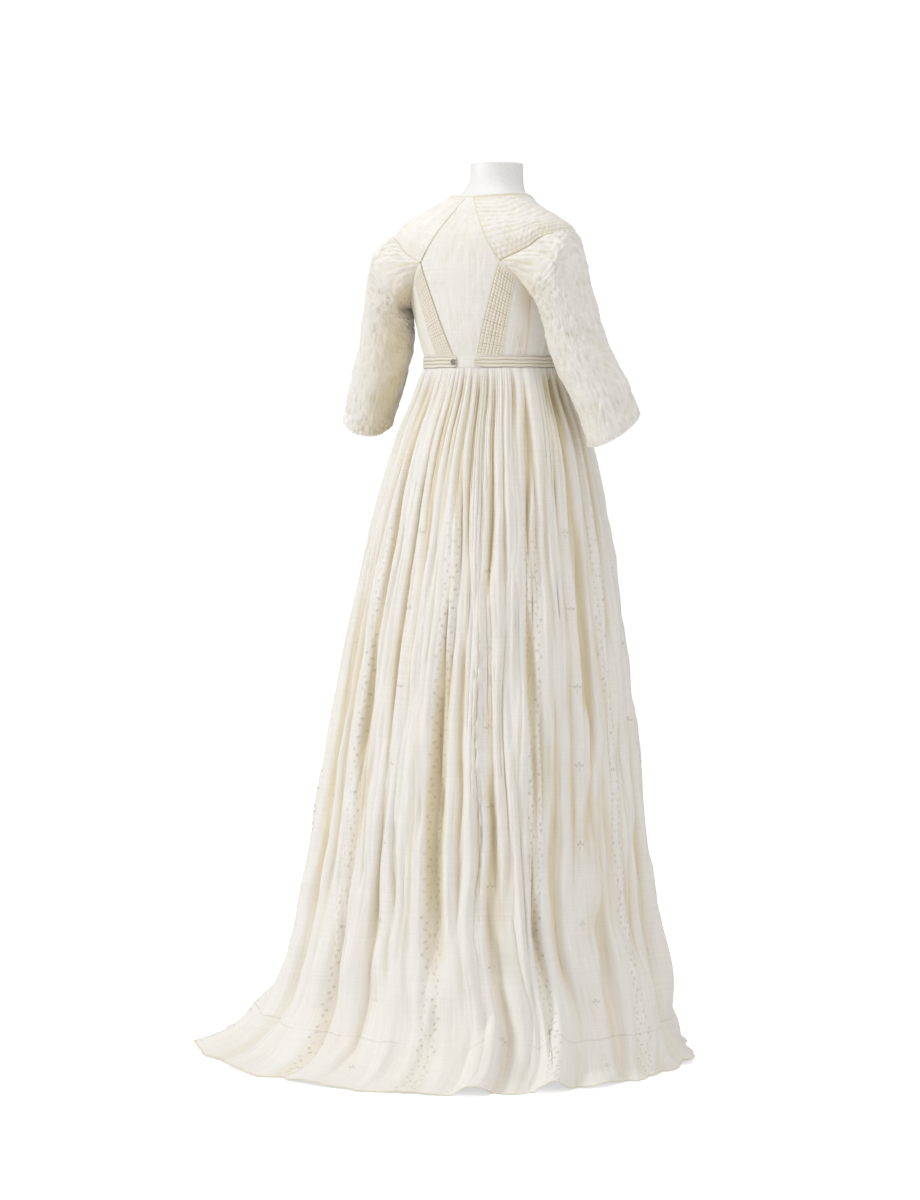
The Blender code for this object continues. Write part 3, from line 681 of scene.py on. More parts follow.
def new_group(name: str, inputs: Sequence[tuple[str, str]], outputs: Sequence[tuple[str, str]]
              ) -> tuple[NodeTree, bpy.types.Node, bpy.types.Node]:
    """Start a shader node group.

    Args:
        name: The group's name.
        inputs: Name and kind of each input, such as Float or Vector.
        outputs: Name and kind of each output.

    Returns:
        The tree, its input node and its output node.
    """
    tree = bpy.data.node_groups.new(name, "ShaderNodeTree")
    for way, sockets in (("INPUT", inputs), ("OUTPUT", outputs)):
        for label, kind in sockets:
            tree.interface.new_socket(name=label, in_out=way, socket_type="NodeSocket" + kind)
    nodes = NodeTree(tree)
    return nodes, nodes.add("NodeGroupInput"), nodes.add("NodeGroupOutput")


class Effects:
    """The node groups that several finishes share, each built once."""

    def __init__(self) -> None:
        """Build the groups."""
        self.weave = self.build_weave()
        self.streaks = self.build_streaks()
        self.age = self.build_age()
        self.vines = self.build_vines()
        self.grain = self.build_grain()

    @staticmethod
    def build_weave() -> bpy.types.NodeTree:
        """Plain weave of crossing threads."""
        nodes, start, end = new_group("PlainWeave", (("Cloth", "Vector"), ("Pitch", "Float")),
                                      (("Height", "Float"),))
        split = nodes.add("ShaderNodeSeparateXYZ")
        nodes.feed(split.inputs[0], start.outputs["Cloth"])
        turn = nodes.math("DIVIDE", 2.0 * math.pi, start.outputs["Pitch"])
        warp = nodes.math("SINE", nodes.math("MULTIPLY", split.outputs[0], turn))
        weft = nodes.math("SINE", nodes.math("MULTIPLY", split.outputs[1], turn))
        cross = nodes.math("MULTIPLY", warp, weft)
        threads = nodes.math("ADD", nodes.math("ABSOLUTE", warp), nodes.math("ABSOLUTE", weft))
        height = nodes.math("MULTIPLY_ADD", threads, 0.25, nodes.math("MULTIPLY_ADD", cross, 0.25, 0.25))
        nodes.feed(end.inputs["Height"], height)
        return nodes.tree

    @staticmethod
    def build_streaks() -> bpy.types.NodeTree:
        """Thicker and thinner threads, which show as fine streaks both ways."""
        nodes, start, end = new_group("ThreadStreaks", (("Cloth", "Vector"),),
                                      (("Shade", "Float"), ("Crinkle", "Float")))
        cloth = start.outputs["Cloth"]
        long_way = nodes.noise(nodes.stretch(cloth, (620.0, 9.0, 1.0)), 1.0, 2.0, 0.6)
        cross_way = nodes.noise(nodes.stretch(cloth, (7.0, 540.0, 1.0)), 1.0, 2.0, 0.6)
        both = nodes.math("MULTIPLY_ADD", long_way, 0.62, nodes.math("MULTIPLY", cross_way, 0.38))
        nodes.feed(end.inputs["Shade"], both)
        crinkle = nodes.noise(nodes.stretch(cloth, (165.0, 11.0, 1.0)), 1.0, 3.0, 0.55)
        soft = nodes.noise(nodes.stretch(cloth, (62.0, 40.0, 1.0)), 1.0, 2.0, 0.5)
        nodes.feed(end.inputs["Crinkle"], nodes.math("MULTIPLY_ADD", soft, 0.5, crinkle))
        return nodes.tree

    @staticmethod
    def build_age() -> bpy.types.NodeTree:
        """Soft blotches of old cloth and a few small spots."""
        nodes, start, end = new_group("OldCloth", (("Place", "Vector"), ("Size", "Float")),
                                      (("Blotch", "Float"), ("Spot", "Float")))
        broad = nodes.add("ShaderNodeTexNoise")
        nodes.feed(broad.inputs["Vector"], start.outputs["Place"])
        nodes.feed(broad.inputs["Scale"], start.outputs["Size"])
        broad.inputs["Detail"].default_value = 3.0
        nodes.feed(end.inputs["Blotch"], nodes.fade(broad.outputs["Fac"], 0.44, 0.74))
        small = nodes.noise(start.outputs["Place"], 70.0, 1.0)
        nodes.feed(end.inputs["Spot"], nodes.fade(small, 0.76, 0.84))
        return nodes.tree

    @staticmethod
    def build_vines() -> bpy.types.NodeTree:
        """Printed vines in pairs that run along the cloth, with three-leaved sprigs between."""
        wave_length, wave_rise, stem_aside = 0.052, 0.0028, 0.0088
        leaf_step, leaf_aside, leaf_size = 0.0098, 0.0026, (0.0022, 0.0030)
        sprig_step, petal_out, petal_size = 0.125, 0.0052, (0.0022, 0.0038)
        stalk_down, stalk_size = 0.0040, (0.0007, 0.0046)
        nodes, start, end = new_group("PrintedVines", (("Cloth", "Vector"), ("Repeat", "Float"),
                                                       ("Offset", "Float"), ("Spread", "Float")),
                                      (("Mask", "Float"),))
        split = nodes.add("ShaderNodeSeparateXYZ")
        nodes.feed(split.inputs[0], start.outputs["Cloth"])
        across, along = split.outputs[0], split.outputs[1]
        repeat = start.outputs["Repeat"]
        cell = nodes.math("ADD", nodes.math("DIVIDE", across, repeat), start.outputs["Offset"])

        width = nodes.math("MULTIPLY", repeat, start.outputs["Spread"])
        aside = nodes.math("MULTIPLY", nodes.math("SUBTRACT", nodes.math("FRACT", cell), 0.5), width)
        beside = nodes.math("ABSOLUTE", aside)
        phase = nodes.math("MULTIPLY", along, 2.0 * math.pi / wave_length)
        swing = nodes.math("MULTIPLY", nodes.math("SINE", phase), wave_rise)
        stem = nodes.math("ADD", swing, stem_aside)
        step = nodes.math("DIVIDE", along, leaf_step)
        leaf_up = nodes.math("MULTIPLY", nodes.math("SUBTRACT", nodes.math("FRACT", step), 0.5), leaf_step)
        odd = nodes.math("MODULO", nodes.math("FLOOR", step), 2.0)
        turn = nodes.math("SUBTRACT", nodes.math("MULTIPLY", odd, 2.0), 1.0)
        leaf_side = nodes.math("SUBTRACT", beside, nodes.math("MULTIPLY_ADD", turn, leaf_aside, stem))
        leaf = Effects.oval(nodes, leaf_side, leaf_up, *leaf_size)
        off_stem = nodes.math("ABSOLUTE", nodes.math("SUBTRACT", beside, stem))
        line = nodes.fade(off_stem, 0.0002, 0.0012, 0.3, 0.0)
        mask = nodes.math("MAXIMUM", leaf, line)

        shifted = nodes.math("ADD", cell, 0.5)
        sprig_side = nodes.math("MULTIPLY", nodes.math("SUBTRACT", nodes.math("FRACT", shifted), 0.5), width)
        drop = nodes.math("MULTIPLY", nodes.math("MODULO", nodes.math("FLOOR", shifted), 2.0), 0.5)
        sprig_row = nodes.math("ADD", nodes.math("DIVIDE", along, sprig_step), drop)
        sprig_up = nodes.math("MULTIPLY", nodes.math("SUBTRACT", nodes.math("FRACT", sprig_row), 0.5),
                              sprig_step)
        for degrees in (-62.0, 0.0, 62.0):
            cosine, sine = math.cos(math.radians(degrees)), math.sin(math.radians(degrees))
            turned_side = nodes.math("SUBTRACT", nodes.math("MULTIPLY", sprig_side, cosine),
                                     nodes.math("MULTIPLY", sprig_up, sine))
            turned_up = nodes.math("ADD", nodes.math("MULTIPLY", sprig_side, sine),
                                   nodes.math("MULTIPLY", sprig_up, cosine))
            from_middle = nodes.math("SUBTRACT", turned_up, petal_out)
            petal = Effects.oval(nodes, turned_side, from_middle, *petal_size)
            mask = nodes.math("MAXIMUM", mask, petal)
        stalk = Effects.oval(nodes, sprig_side, nodes.math("ADD", sprig_up, stalk_down), *stalk_size)
        mask = nodes.math("MAXIMUM", mask, stalk)
        worn = nodes.fade(nodes.noise(start.outputs["Cloth"], 46.0, 2.0), 0.30, 0.66, 0.35, 1.0)
        nodes.feed(end.inputs["Mask"], nodes.math("MULTIPLY", mask, worn))
        return nodes.tree

    @staticmethod
    def oval(nodes: NodeTree, side: Value, up: Value, half_width: float, half_height: float
             ) -> bpy.types.NodeSocket:
        """A soft-edged oval spot.

        Args:
            nodes: The tree to add to.
            side: Distance across from the oval's middle.
            up: Distance along from it.
            half_width: Half its width.
            half_height: Half its height.

        Returns:
            One inside the oval and 0 outside.
        """
        wide = nodes.math("POWER", nodes.math("DIVIDE", nodes.math("ABSOLUTE", side), half_width), 2.0)
        high = nodes.math("POWER", nodes.math("DIVIDE", nodes.math("ABSOLUTE", up), half_height), 2.0)
        return nodes.fade(nodes.math("SQRT", nodes.math("ADD", wide, high)), 0.65, 1.15, 1.0, 0.0)

    @staticmethod
    def build_grain() -> bpy.types.NodeTree:
        """Fine unevenness of a painted or moulded face."""
        nodes, start, end = new_group("FineGrain", (("Place", "Vector"), ("Size", "Float")),
                                      (("Shade", "Float"), ("Height", "Float")))
        for label, detail in (("Shade", 3.0), ("Height", 1.0)):
            texture = nodes.add("ShaderNodeTexNoise")
            nodes.feed(texture.inputs["Vector"], start.outputs["Place"])
            nodes.feed(texture.inputs["Scale"], start.outputs["Size"])
            texture.inputs["Detail"].default_value = detail
            nodes.feed(end.inputs[label], texture.outputs["Fac"])
        return nodes.tree


@dataclass(frozen=True)
class CottonFinish:
    """Old white cotton: plain weave, thread streaks, painted warm shade in the folds and soft blotches of
    age, with or without print.
    """

    name: str
    light: tuple[float, float, float] = (0.870, 0.850, 0.812)
    # Painted warm shade of the folds
    fold: tuple[float, float, float] = (0.70, 0.59, 0.35)
    old: tuple[float, float, float] = (0.77, 0.715, 0.61)
    # Painted dark shade of the deepest hollows
    deep: tuple[float, float, float] = (0.40, 0.335, 0.225)
    print_colour: tuple[float, float, float] = (0.47, 0.42, 0.30)
    print_share: float = 0.0
    print_top: tuple[float, float] = (0.86, 1.05)
    repeat: float = 0.27
    offset: float = 0.0
    hem_line: Optional[float] = None
    age_share: float = 0.28
    bump: float = 0.45
    crinkle: float = 1.3
    bump_distance: float = 0.0012
    thread_pitch: float = 0.0008
    blotch_scale: float = 7.0
    sheen: float = 0.12
    sheen_roughness: float = 0.45
    shine: float = 0.12

    def material(self, effects: Effects) -> bpy.types.Material:
        """Build the material.

        Args:
            effects: The shared node groups.

        Returns:
            The new material.
        """
        material = bpy.data.materials.new(self.name)
        material.use_nodes = True
        nodes = NodeTree(material.node_tree)
        shader = nodes.tree.nodes["Principled BSDF"]
        cloth = nodes.add("ShaderNodeUVMap", uv_map=UV_NAME).outputs["UV"]
        place = nodes.add("ShaderNodeTexCoord").outputs["Object"]
        valley = nodes.add("ShaderNodeAttribute", attribute_name=DEPTH_NAME).outputs["Fac"]
        weave = nodes.group(effects.weave, Cloth=cloth, Pitch=self.thread_pitch).outputs["Height"]
        streaks = nodes.group(effects.streaks, Cloth=cloth)
        streak = streaks.outputs["Shade"]
        age = nodes.group(effects.age, Place=place, Size=self.blotch_scale)

        # Painted shade: the Valley value mixes the cloth toward the warm fold colour, and its deepest part
        # toward the dark deep colour
        colour = nodes.blend(valley, (*self.light, 1.0), (*self.fold, 1.0))
        colour = nodes.blend(nodes.fade(valley, 0.74, 1.0, 0.0, 0.9), colour, (*self.deep, 1.0))
        blotch = nodes.math("MULTIPLY", age.outputs["Blotch"], self.age_share)
        colour = nodes.blend(blotch, colour, (*self.old, 1.0))
        spots = nodes.math("MULTIPLY", age.outputs["Spot"], self.age_share * 0.6)
        colour = nodes.blend(spots, colour, (*self.old, 1.0))
        if self.print_share > 0.0:
            spread = nodes.add("ShaderNodeAttribute", attribute_name=SPREAD_NAME).outputs["Fac"]
            vines = nodes.group(effects.vines, Cloth=cloth, Repeat=self.repeat, Offset=self.offset,
                                Spread=spread)
            up = nodes.add("ShaderNodeSeparateXYZ")
            nodes.feed(up.inputs[0], cloth)
            share = nodes.math("MULTIPLY", vines.outputs["Mask"], nodes.fade(
                up.outputs[1], *self.print_top, self.print_share, 0.0))
            colour = nodes.blend(share, colour, (*self.print_colour, 1.0))
        shade = nodes.fade(streak, 0.30, 0.70, 0.945, 1.04)
        shade = nodes.math("MULTIPLY", shade, nodes.fade(weave, 0.1, 0.9, 0.985, 1.01))
        height = nodes.math("MULTIPLY_ADD", weave, 0.16, nodes.math("MULTIPLY", streak, 0.45))
        height = nodes.math("MULTIPLY_ADD", streaks.outputs["Crinkle"], self.crinkle, height)
        if self.hem_line is not None:
            along = nodes.add("ShaderNodeSeparateXYZ")
            nodes.feed(along.inputs[0], cloth)
            away = nodes.math("ABSOLUTE", nodes.math("SUBTRACT", along.outputs[1], self.hem_line))
            line = nodes.fade(away, 0.0003, 0.0016, 1.0, 0.0)
            line = nodes.math("MULTIPLY", line, nodes.fade(nodes.noise(cloth, 7.0, 1.0), 0.40, 0.54))
            shade = nodes.math("MULTIPLY", shade, nodes.math("MULTIPLY_ADD", line, -0.12, 1.0))
            height = nodes.math("MULTIPLY_ADD", line, -1.2, height)
            # Painted warm shade along the rolled edge at the foot of the hem, in the fold colour
            roll = nodes.fade(along.outputs[1], 0.0026, 0.0052, 0.42, 0.0)
            colour = nodes.blend(roll, colour, (*self.fold, 1.0))
        grey = nodes.add("ShaderNodeCombineColor")
        for channel in grey.inputs:
            nodes.feed(channel, shade)
        colour = nodes.blend(1.0, colour, grey.outputs[0], "MULTIPLY")
        nodes.feed(shader.inputs["Base Color"], colour)
        nodes.feed(shader.inputs["Roughness"], nodes.fade(streak, 0.2, 0.8, 0.82, 0.95))
        relief = nodes.add("ShaderNodeBump")
        relief.inputs["Strength"].default_value = self.bump
        relief.inputs["Distance"].default_value = self.bump_distance
        nodes.feed(relief.inputs["Height"], height)
        nodes.feed(shader.inputs["Normal"], relief.outputs["Normal"])
        shader.inputs["Sheen Weight"].default_value = self.sheen
        shader.inputs["Sheen Roughness"].default_value = self.sheen_roughness
        shader.inputs["Specular IOR Level"].default_value = self.shine
        return material


@dataclass(frozen=True)
class PlainFinish:
    """A painted, moulded or thread finish with fine unevenness."""

    name: str
    colour: tuple[float, float, float]
    dark: tuple[float, float, float]
    roughness: float
    metallic: float = 0.0
    grain: float = 160.0
    bump: float = 0.15

    def material(self, effects: Effects) -> bpy.types.Material:
        """Build the material.

        Args:
            effects: The shared node groups.

        Returns:
            The new material.
        """
        material = bpy.data.materials.new(self.name)
        material.use_nodes = True
        nodes = NodeTree(material.node_tree)
        shader = nodes.tree.nodes["Principled BSDF"]
        place = nodes.add("ShaderNodeTexCoord").outputs["Object"]
        grain = nodes.group(effects.grain, Place=place, Size=self.grain)
        colour = nodes.blend(nodes.fade(grain.outputs["Shade"], 0.35, 0.75), (*self.colour, 1.0),
                             (*self.dark, 1.0))
        nodes.feed(shader.inputs["Base Color"], colour)
        low = self.roughness * 0.92
        nodes.feed(shader.inputs["Roughness"], nodes.fade(grain.outputs["Height"], 0.2, 0.8, low,
                                                          min(1.0, self.roughness * 1.08)))
        relief = nodes.add("ShaderNodeBump")
        relief.inputs["Strength"].default_value = self.bump
        relief.inputs["Distance"].default_value = 0.0002
        nodes.feed(relief.inputs["Height"], grain.outputs["Height"])
        nodes.feed(shader.inputs["Normal"], relief.outputs["Normal"])
        shader.inputs["Metallic"].default_value = self.metallic
        return material


@dataclass(frozen=True)
class Torso:
    """The bodice's smooth surface, read by angle and level."""

    nape: tuple[float, float] = (0.0065, 1.380)
    corner: tuple[float, float] = (0.074, 1.276)
    waist: tuple[float, float] = (0.022, 1.125)
    side_seam: float = 52.0
    front_seam: float = 142.0
    samples: int = 400

    def point(self, angle: np.ndarray, level: np.ndarray) -> np.ndarray:
        """Points at angles in degrees and levels of the section table.

        Args:
            angle: Angles round the body.
            level: Levels, counted in sections from the waist.

        Returns:
            One point for each pair.
        """
        table = np.array(TORSO_SECTIONS)
        height, half, back, front, widest = (smooth(table[:, column], level) for column in range(5))
        turn = np.radians(angle)
        depth = np.where(np.cos(turn) > 0.0, back - widest, front + widest)
        return np.stack([-half * np.sin(turn), widest + depth * np.cos(turn), height], axis=-1)

    def normal(self, angle: np.ndarray, level: np.ndarray) -> np.ndarray:
        """Outward directions at angles and levels."""
        step = 0.05
        round_body = self.point(angle + step, level) - self.point(angle - step, level)
        up_body = self.point(angle, level + step) - self.point(angle, level - step)
        return unit(np.cross(round_body, up_body))

    def on_back(self, half: np.ndarray, height: np.ndarray) -> np.ndarray:
        """Angle and level of points of the back, from half widths and heights.

        Args:
            half: Distances from the middle line.
            height: Heights above the floor.

        Returns:
            Angle and level of each point.
        """
        table = np.array(TORSO_SECTIONS)
        levels = np.linspace(0.0, 9.5, self.samples)
        level = np.interp(height, smooth(table[:, 0], levels), levels)
        angle = np.degrees(np.arcsin(np.asarray(half) / smooth(table[:, 1], level)))
        return np.stack([angle, level], axis=-1)

    def seam(self, low: tuple[float, float], high: tuple[float, float], steps: int) -> np.ndarray:
        """Straight seam of the back between two places of half width and height."""
        part = np.linspace(0.0, 1.0, steps + 1)
        return self.on_back(low[0] + (high[0] - low[0]) * part, low[1] + (high[1] - low[1]) * part)

    def armhole(self, table: Sequence[tuple[float, float]], shares: np.ndarray, corner: bool = True
                ) -> np.ndarray:
        """Points of a run of the armhole.

        Args:
            table: Angles and levels of its stops.
            shares: Where to read it, as shares of its length.
            corner: Whether it starts at the diamond's corner.

        Returns:
            Angle and level of each point.
        """
        stops = [tuple(self.on_back(*self.corner)), *table] if corner else list(table)
        fine = smooth(np.array(stops), np.linspace(0.0, len(stops) - 1, self.samples))
        walked = np.linalg.norm(np.diff(self.point(fine[:, 0], fine[:, 1]), axis=0), axis=1)
        walked = np.concatenate([[0.0], np.cumsum(walked)])
        places = np.asarray(shares) * walked[-1]
        return np.stack([np.interp(places, walked, fine[:, column]) for column in range(2)], axis=-1)

    def neckline(self, first: float, last: float, steps: int) -> np.ndarray:
        """Points of the neckline between two angles, the same on both sides.

        Args:
            first: The first angle.
            last: The last angle.
            steps: How many steps lie between.

        Returns:
            Angle and level of each point.
        """
        table = np.array(NECKLINE)
        angles = np.linspace(first, last, steps + 1)
        folded = np.where(angles > 180.0, 360.0 - angles, np.abs(angles))
        return np.stack([angles, np.interp(folded, table[:, 0], table[:, 1])], axis=-1)

    def waist_ring(self, angles: np.ndarray, height: float, lift: np.ndarray) -> np.ndarray:
        """Points round the waist at a height, moved out by a lift.

        Args:
            angles: Angles round the body.
            height: Height above the floor.
            lift: Distance out from the body.

        Returns:
            One point for each angle.
        """
        level = np.zeros(np.shape(angles))
        flat = self.normal(angles, level) * np.array([1.0, 1.0, 0.0])
        points = self.point(angles, level) + unit(flat) * np.asarray(lift)[..., None]
        points[..., 2] = height
        return points


def straight(start: np.ndarray, end: np.ndarray, steps: int) -> np.ndarray:
    """Evenly spaced points between two corners.

    Args:
        start: The first corner.
        end: The last corner.
        steps: How many steps lie between.

    Returns:
        The points in order.
    """
    part = np.linspace(0.0, 1.0, steps + 1)[:, None]
    return start + (end - start) * part


def patch(bottom: np.ndarray, top: np.ndarray, left: np.ndarray, right: np.ndarray, shares: np.ndarray
          ) -> np.ndarray:
    """Fill four edges with rows of points, in angle and level.

    Args:
        bottom: The lower edge.
        top: The upper edge.
        left: The first side, from bottom to top.
        right: The last side.
        shares: Place of each column across.

    Returns:
        Rows and columns of angle and level.
    """
    u = np.asarray(shares)[None, :, None]
    v = np.linspace(0.0, 1.0, len(left))[:, None, None]
    sides = (1.0 - u) * left[:, None] + u * right[:, None]
    ends = (1.0 - v) * bottom[None] + v * top[None]
    corners = ((1.0 - u) * (1.0 - v) * bottom[0] + u * (1.0 - v) * bottom[-1]
               + (1.0 - u) * v * top[0] + u * v * top[-1])
    return sides + ends - corners


@dataclass
class Bodice:
    """The fitted upper part: diamond back, side backs, shoulders, front and neck binding."""

    torso: Torso
    finish: CottonFinish
    effects: Effects
    cloth: float = 0.0012
    shell: float = 0.0007
    lower_rows: int = 90
    upper_rows: int = 68
    back_columns: int = 60
    tuck_share: float = 0.50
    tucks: int = 7
    quilt_step: float = 0.0054
    quilt_rise: float = 0.0025
    side_columns: int = 96
    shoulder_columns: int = 188
    arm_columns: int = 36
    neck_columns: int = 36
    pucker_count: int = 26
    ruche_step: float = 0.075
    ruche_rise: float = 0.0021
    strap_count: float = 12.0
    strap_rise: float = 0.0016
    binding: float = 0.006
    binding_rise: float = 0.0026
    binding_cut: tuple[float, float] = (0.62, 0.012)
    crumple_rise: float = 0.0007
    taken_up: float = 1.06

    def build(self) -> None:
        """Make all of the bodice's pieces."""
        self.material = self.finish.material(self.effects)
        self.centre_back()
        for side in Side:
            self.side_back(side)
            self.shoulder(side)
        self.front()
        self.neck_binding()

    def panel(self, name: str, grid: np.ndarray, relief: np.ndarray, painted_shade: np.ndarray,
              side: Side = Side.RIGHT) -> bpy.types.Object:
        """Make a panel of the bodice.

        Args:
            name: The node that it stands for.
            grid: Rows and columns of angle and level.
            relief: How far each point stands out of the cloth.
            painted_shade: Extra warm shade of each point, from 0 to 1.
            side: The side that it is for.

        Returns:
            The new piece.
        """
        points = self.torso.point(grid[..., 0], grid[..., 1])
        normals = self.torso.normal(grid[..., 0], grid[..., 1])
        places = cloth_places(points)
        soft = crumple(points, (0.011, 0.011, 0.026), 3.0 * side.value, 3) * self.crumple_rise
        border = np.minimum.outer(*(np.minimum(np.arange(n), np.arange(n)[::-1]) for n in points.shape[:2]))
        soft *= rise(border, 0.0, 8.0)
        outer = points + normals * (self.cloth + relief + soft)[..., None]
        # Painted warm shade in the hollows of the creases, plus the panel's own painted shade
        valleys = np.clip(-(relief + soft) / 0.0016, 0.0, 1.0) * 0.30 + painted_shade
        piece = cloth_object(name, side.place(outer), places, np.clip(valleys, 0.0, 1.0), self.shell)
        dress(piece, self.material, name)
        cut_out(piece, outer, tuple(float(np.ptp(places[..., k])) * self.taken_up for k in range(2)))
        return piece

    def centre_back(self) -> None:
        """The diamond down the middle of the back, with faint creases along it."""
        torso = self.torso
        right = np.concatenate([torso.seam(torso.waist, torso.corner, self.lower_rows),
                                torso.seam(torso.corner, torso.nape, self.upper_rows)[1:]])
        left = right * np.array([-1.0, 1.0])
        shares = np.linspace(0.0, 1.0, self.back_columns + 1)
        grid = patch(straight(left[0], right[0], self.back_columns),
                     straight(left[-1], right[-1], self.back_columns), left, right, shares)
        up = np.linspace(0.0, 1.0, len(grid))[:, None]
        relief = creases(shares[None], up, (0.130, 0.262), CENTRE_CREASES)
        relief += 0.00035 * hump(shares[None], 0.5, 0.02) * rise(up, 0.0, 0.2)
        relief *= rise(np.minimum(shares, 1.0 - shares)[None], 0.0, 0.06)
        relief -= 0.0007 * hump(np.minimum(shares, 1.0 - shares)[None], 0.0, 0.014)
        # Painted warm shade along both seams of the diamond
        painted_shade = 0.75 * hump(shares, 0.0, 0.014) + 0.35 * hump(shares, 1.0, 0.012)
        self.panel("centre_back", grid, relief, painted_shade[None] * np.ones_like(up))

    def side_shares(self) -> np.ndarray:
        """Places of the side back's columns, closer together in the quilted band."""
        quilted = int(self.side_columns * 0.68)
        band = np.linspace(0.0, self.tuck_share, quilted + 1)
        return np.concatenate([band, np.linspace(self.tuck_share, 1.0, self.side_columns - quilted + 1)[1:]])

    def side_back(self, side: Side) -> None:
        """A side back, with a band of small quilted squares along its diagonal seam."""
        torso = self.torso
        shares = self.side_shares()
        rows = self.lower_rows + 90
        left = torso.seam(torso.waist, torso.corner, rows)
        bottom = left[0] + (np.array([torso.side_seam, 0.0]) - left[0]) * shares[:, None]
        top = torso.armhole(ARMHOLE_BACK, shares)
        right = straight(bottom[-1], top[-1], rows)
        grid = patch(bottom, top, left, right, shares)
        up = np.linspace(0.0, 1.0, rows + 1)[:, None] * 0.155
        lines = np.abs(np.sin(math.pi * self.tucks * shares / self.tuck_share))[None] ** 0.6
        cross = np.abs(np.sin(math.pi * up / self.quilt_step)) ** 0.6
        strength = 1.0 if side is Side.RIGHT else 0.85
        band = 1.0 - rise(shares, self.tuck_share * 0.93, self.tuck_share * 1.03)
        ends = rise(up, 0.0, 0.006) * (1.0 - rise(up, 0.146, 0.155))
        puff = self.quilt_rise * strength * lines * (0.25 + 0.75 * cross) - 0.0005
        relief = puff * band[None] * ends
        plain = 0.0005 * np.abs(np.sin(math.pi * shares * 26.0))[None] * np.ones_like(up)
        relief += plain * (1.0 - band[None]) * ends
        # Painted shade in the quilting grooves, along both seams and under the arm
        grooves = np.maximum(1.0 - lines, (1.0 - cross) * 0.9) ** 1.4 * band[None] * ends
        painted_shade = 1.25 * strength * grooves + 0.5 * hump(shares, 1.0, 0.02)[None]
        painted_shade = painted_shade + 0.4 * hump(shares, 0.0, 0.012)[None]
        painted_shade = painted_shade + 0.5 * rise(shares, 0.45, 1.0)[None] * rise(up, 0.06, 0.14)
        gathers = np.abs(np.sin(math.pi * (24.0 * shares[None] + 9.0 * up)))
        near_arm = hump(shares, 0.84, 0.13)[None] * (1.0 - rise(up, 0.030, 0.085)) * ends
        relief = relief + 0.0012 * (gathers - 0.5) * near_arm
        # Painted shade in the hollows of the gathers by the armhole
        painted_shade = painted_shade + (0.9 * (1.0 - gathers) ** 2 + 0.12) * near_arm
        self.panel("side_back_" + side.word, grid, relief, painted_shade * np.ones_like(up), side)

    def shoulder(self, side: Side) -> None:
        """A shoulder, creased and gathered into the armhole."""
        torso = self.torso
        columns = self.shoulder_columns
        shares = np.linspace(0.0, 1.0, columns + 1)
        left = torso.seam(torso.corner, torso.nape, self.upper_rows)
        bottom = torso.armhole(ARMHOLE_TOP, shares)
        top = torso.neckline(left[-1, 0], torso.front_seam, columns)
        top[0] = left[-1]
        right = straight(bottom[-1], top[-1], self.upper_rows)
        grid = patch(bottom, top, left, right, shares)
        up = np.linspace(0.0, 1.0, self.upper_rows + 1)[:, None]
        relief = creases(shares[None], up, (0.190, 0.085), SHOULDER_CREASES)
        if side is Side.RIGHT:
            relief = relief + self.strap_lines(shares[None], up)
        strength = 1.0 if side is Side.RIGHT else 0.45
        uneven = 0.7 + 0.3 * np.sin(23.0 * shares + 1.3)
        shifted = shares[None] + 0.006 * np.sin(40.0 * shares)[None] + 0.02 * np.floor(up / self.ruche_step)
        pucker = np.abs(np.sin(math.pi * self.pucker_count * shifted)) ** 0.8 * uneven[None]
        rows = np.abs(np.sin(math.pi * up / self.ruche_step)) ** 0.7
        band = 1.0 - rise(up, self.ruche_step * 2.8, self.ruche_step * 3.3)
        tails = 0.35 * (1.0 - rise(up, self.ruche_step * 3.0, 0.48)) * (1.0 - band)
        relief = relief * (1.0 - 0.7 * band) + strength * self.ruche_rise * pucker * (rows * band + tails)
        # Painted shade in the ruching and its puckers, in the creases, along the armhole and the diamond's
        # seam, and under the neck binding
        painted_shade = strength * (0.55 * (1.0 - rows) ** 2 * band + 0.35 * (1.0 - pucker) ** 2 * (band + tails))
        painted_shade = painted_shade + np.clip(-relief / 0.0012, 0.0, 1.0) * 0.5
        painted_shade = painted_shade + 0.6 * hump(up, 0.0, 0.018) * strength + 0.25 * hump(shares, 0.0, 0.008)[None]
        painted_shade = painted_shade + 0.55 * hump(up, 1.0, 0.035) * (1.0 - rise(shares, 0.5, 0.8))[None] * strength
        relief *= rise(up, 0.0, 0.03) * (1.0 - rise(up, 0.97, 1.0))
        self.panel("shoulder_" + side.word, grid, relief, painted_shade, side)

    def strap_lines(self, across: np.ndarray, up: np.ndarray) -> np.ndarray:
        """Fine lines of gathers that run along the right shoulder, as uneven as hand work.

        Args:
            across: Share of each column along the shoulder.
            up: Share of each row, from the armhole to the neck.

        Returns:
            The rise of each point.
        """
        drift = (0.55 * np.sin(4.2 * across + 0.6) + 0.30 * np.sin(11.0 * across + 7.0 * up)
                 + 0.8 * across * up)
        lines = np.abs(np.sin(math.pi * (self.strap_count * up ** 1.1 + drift))) ** 0.7
        uneven = 0.75 + 0.25 * np.sin(17.0 * up + 9.0 * across)
        return self.strap_rise * (lines - 0.7) * uneven * (1.0 - 0.8 * rise(across, 0.55, 0.85))

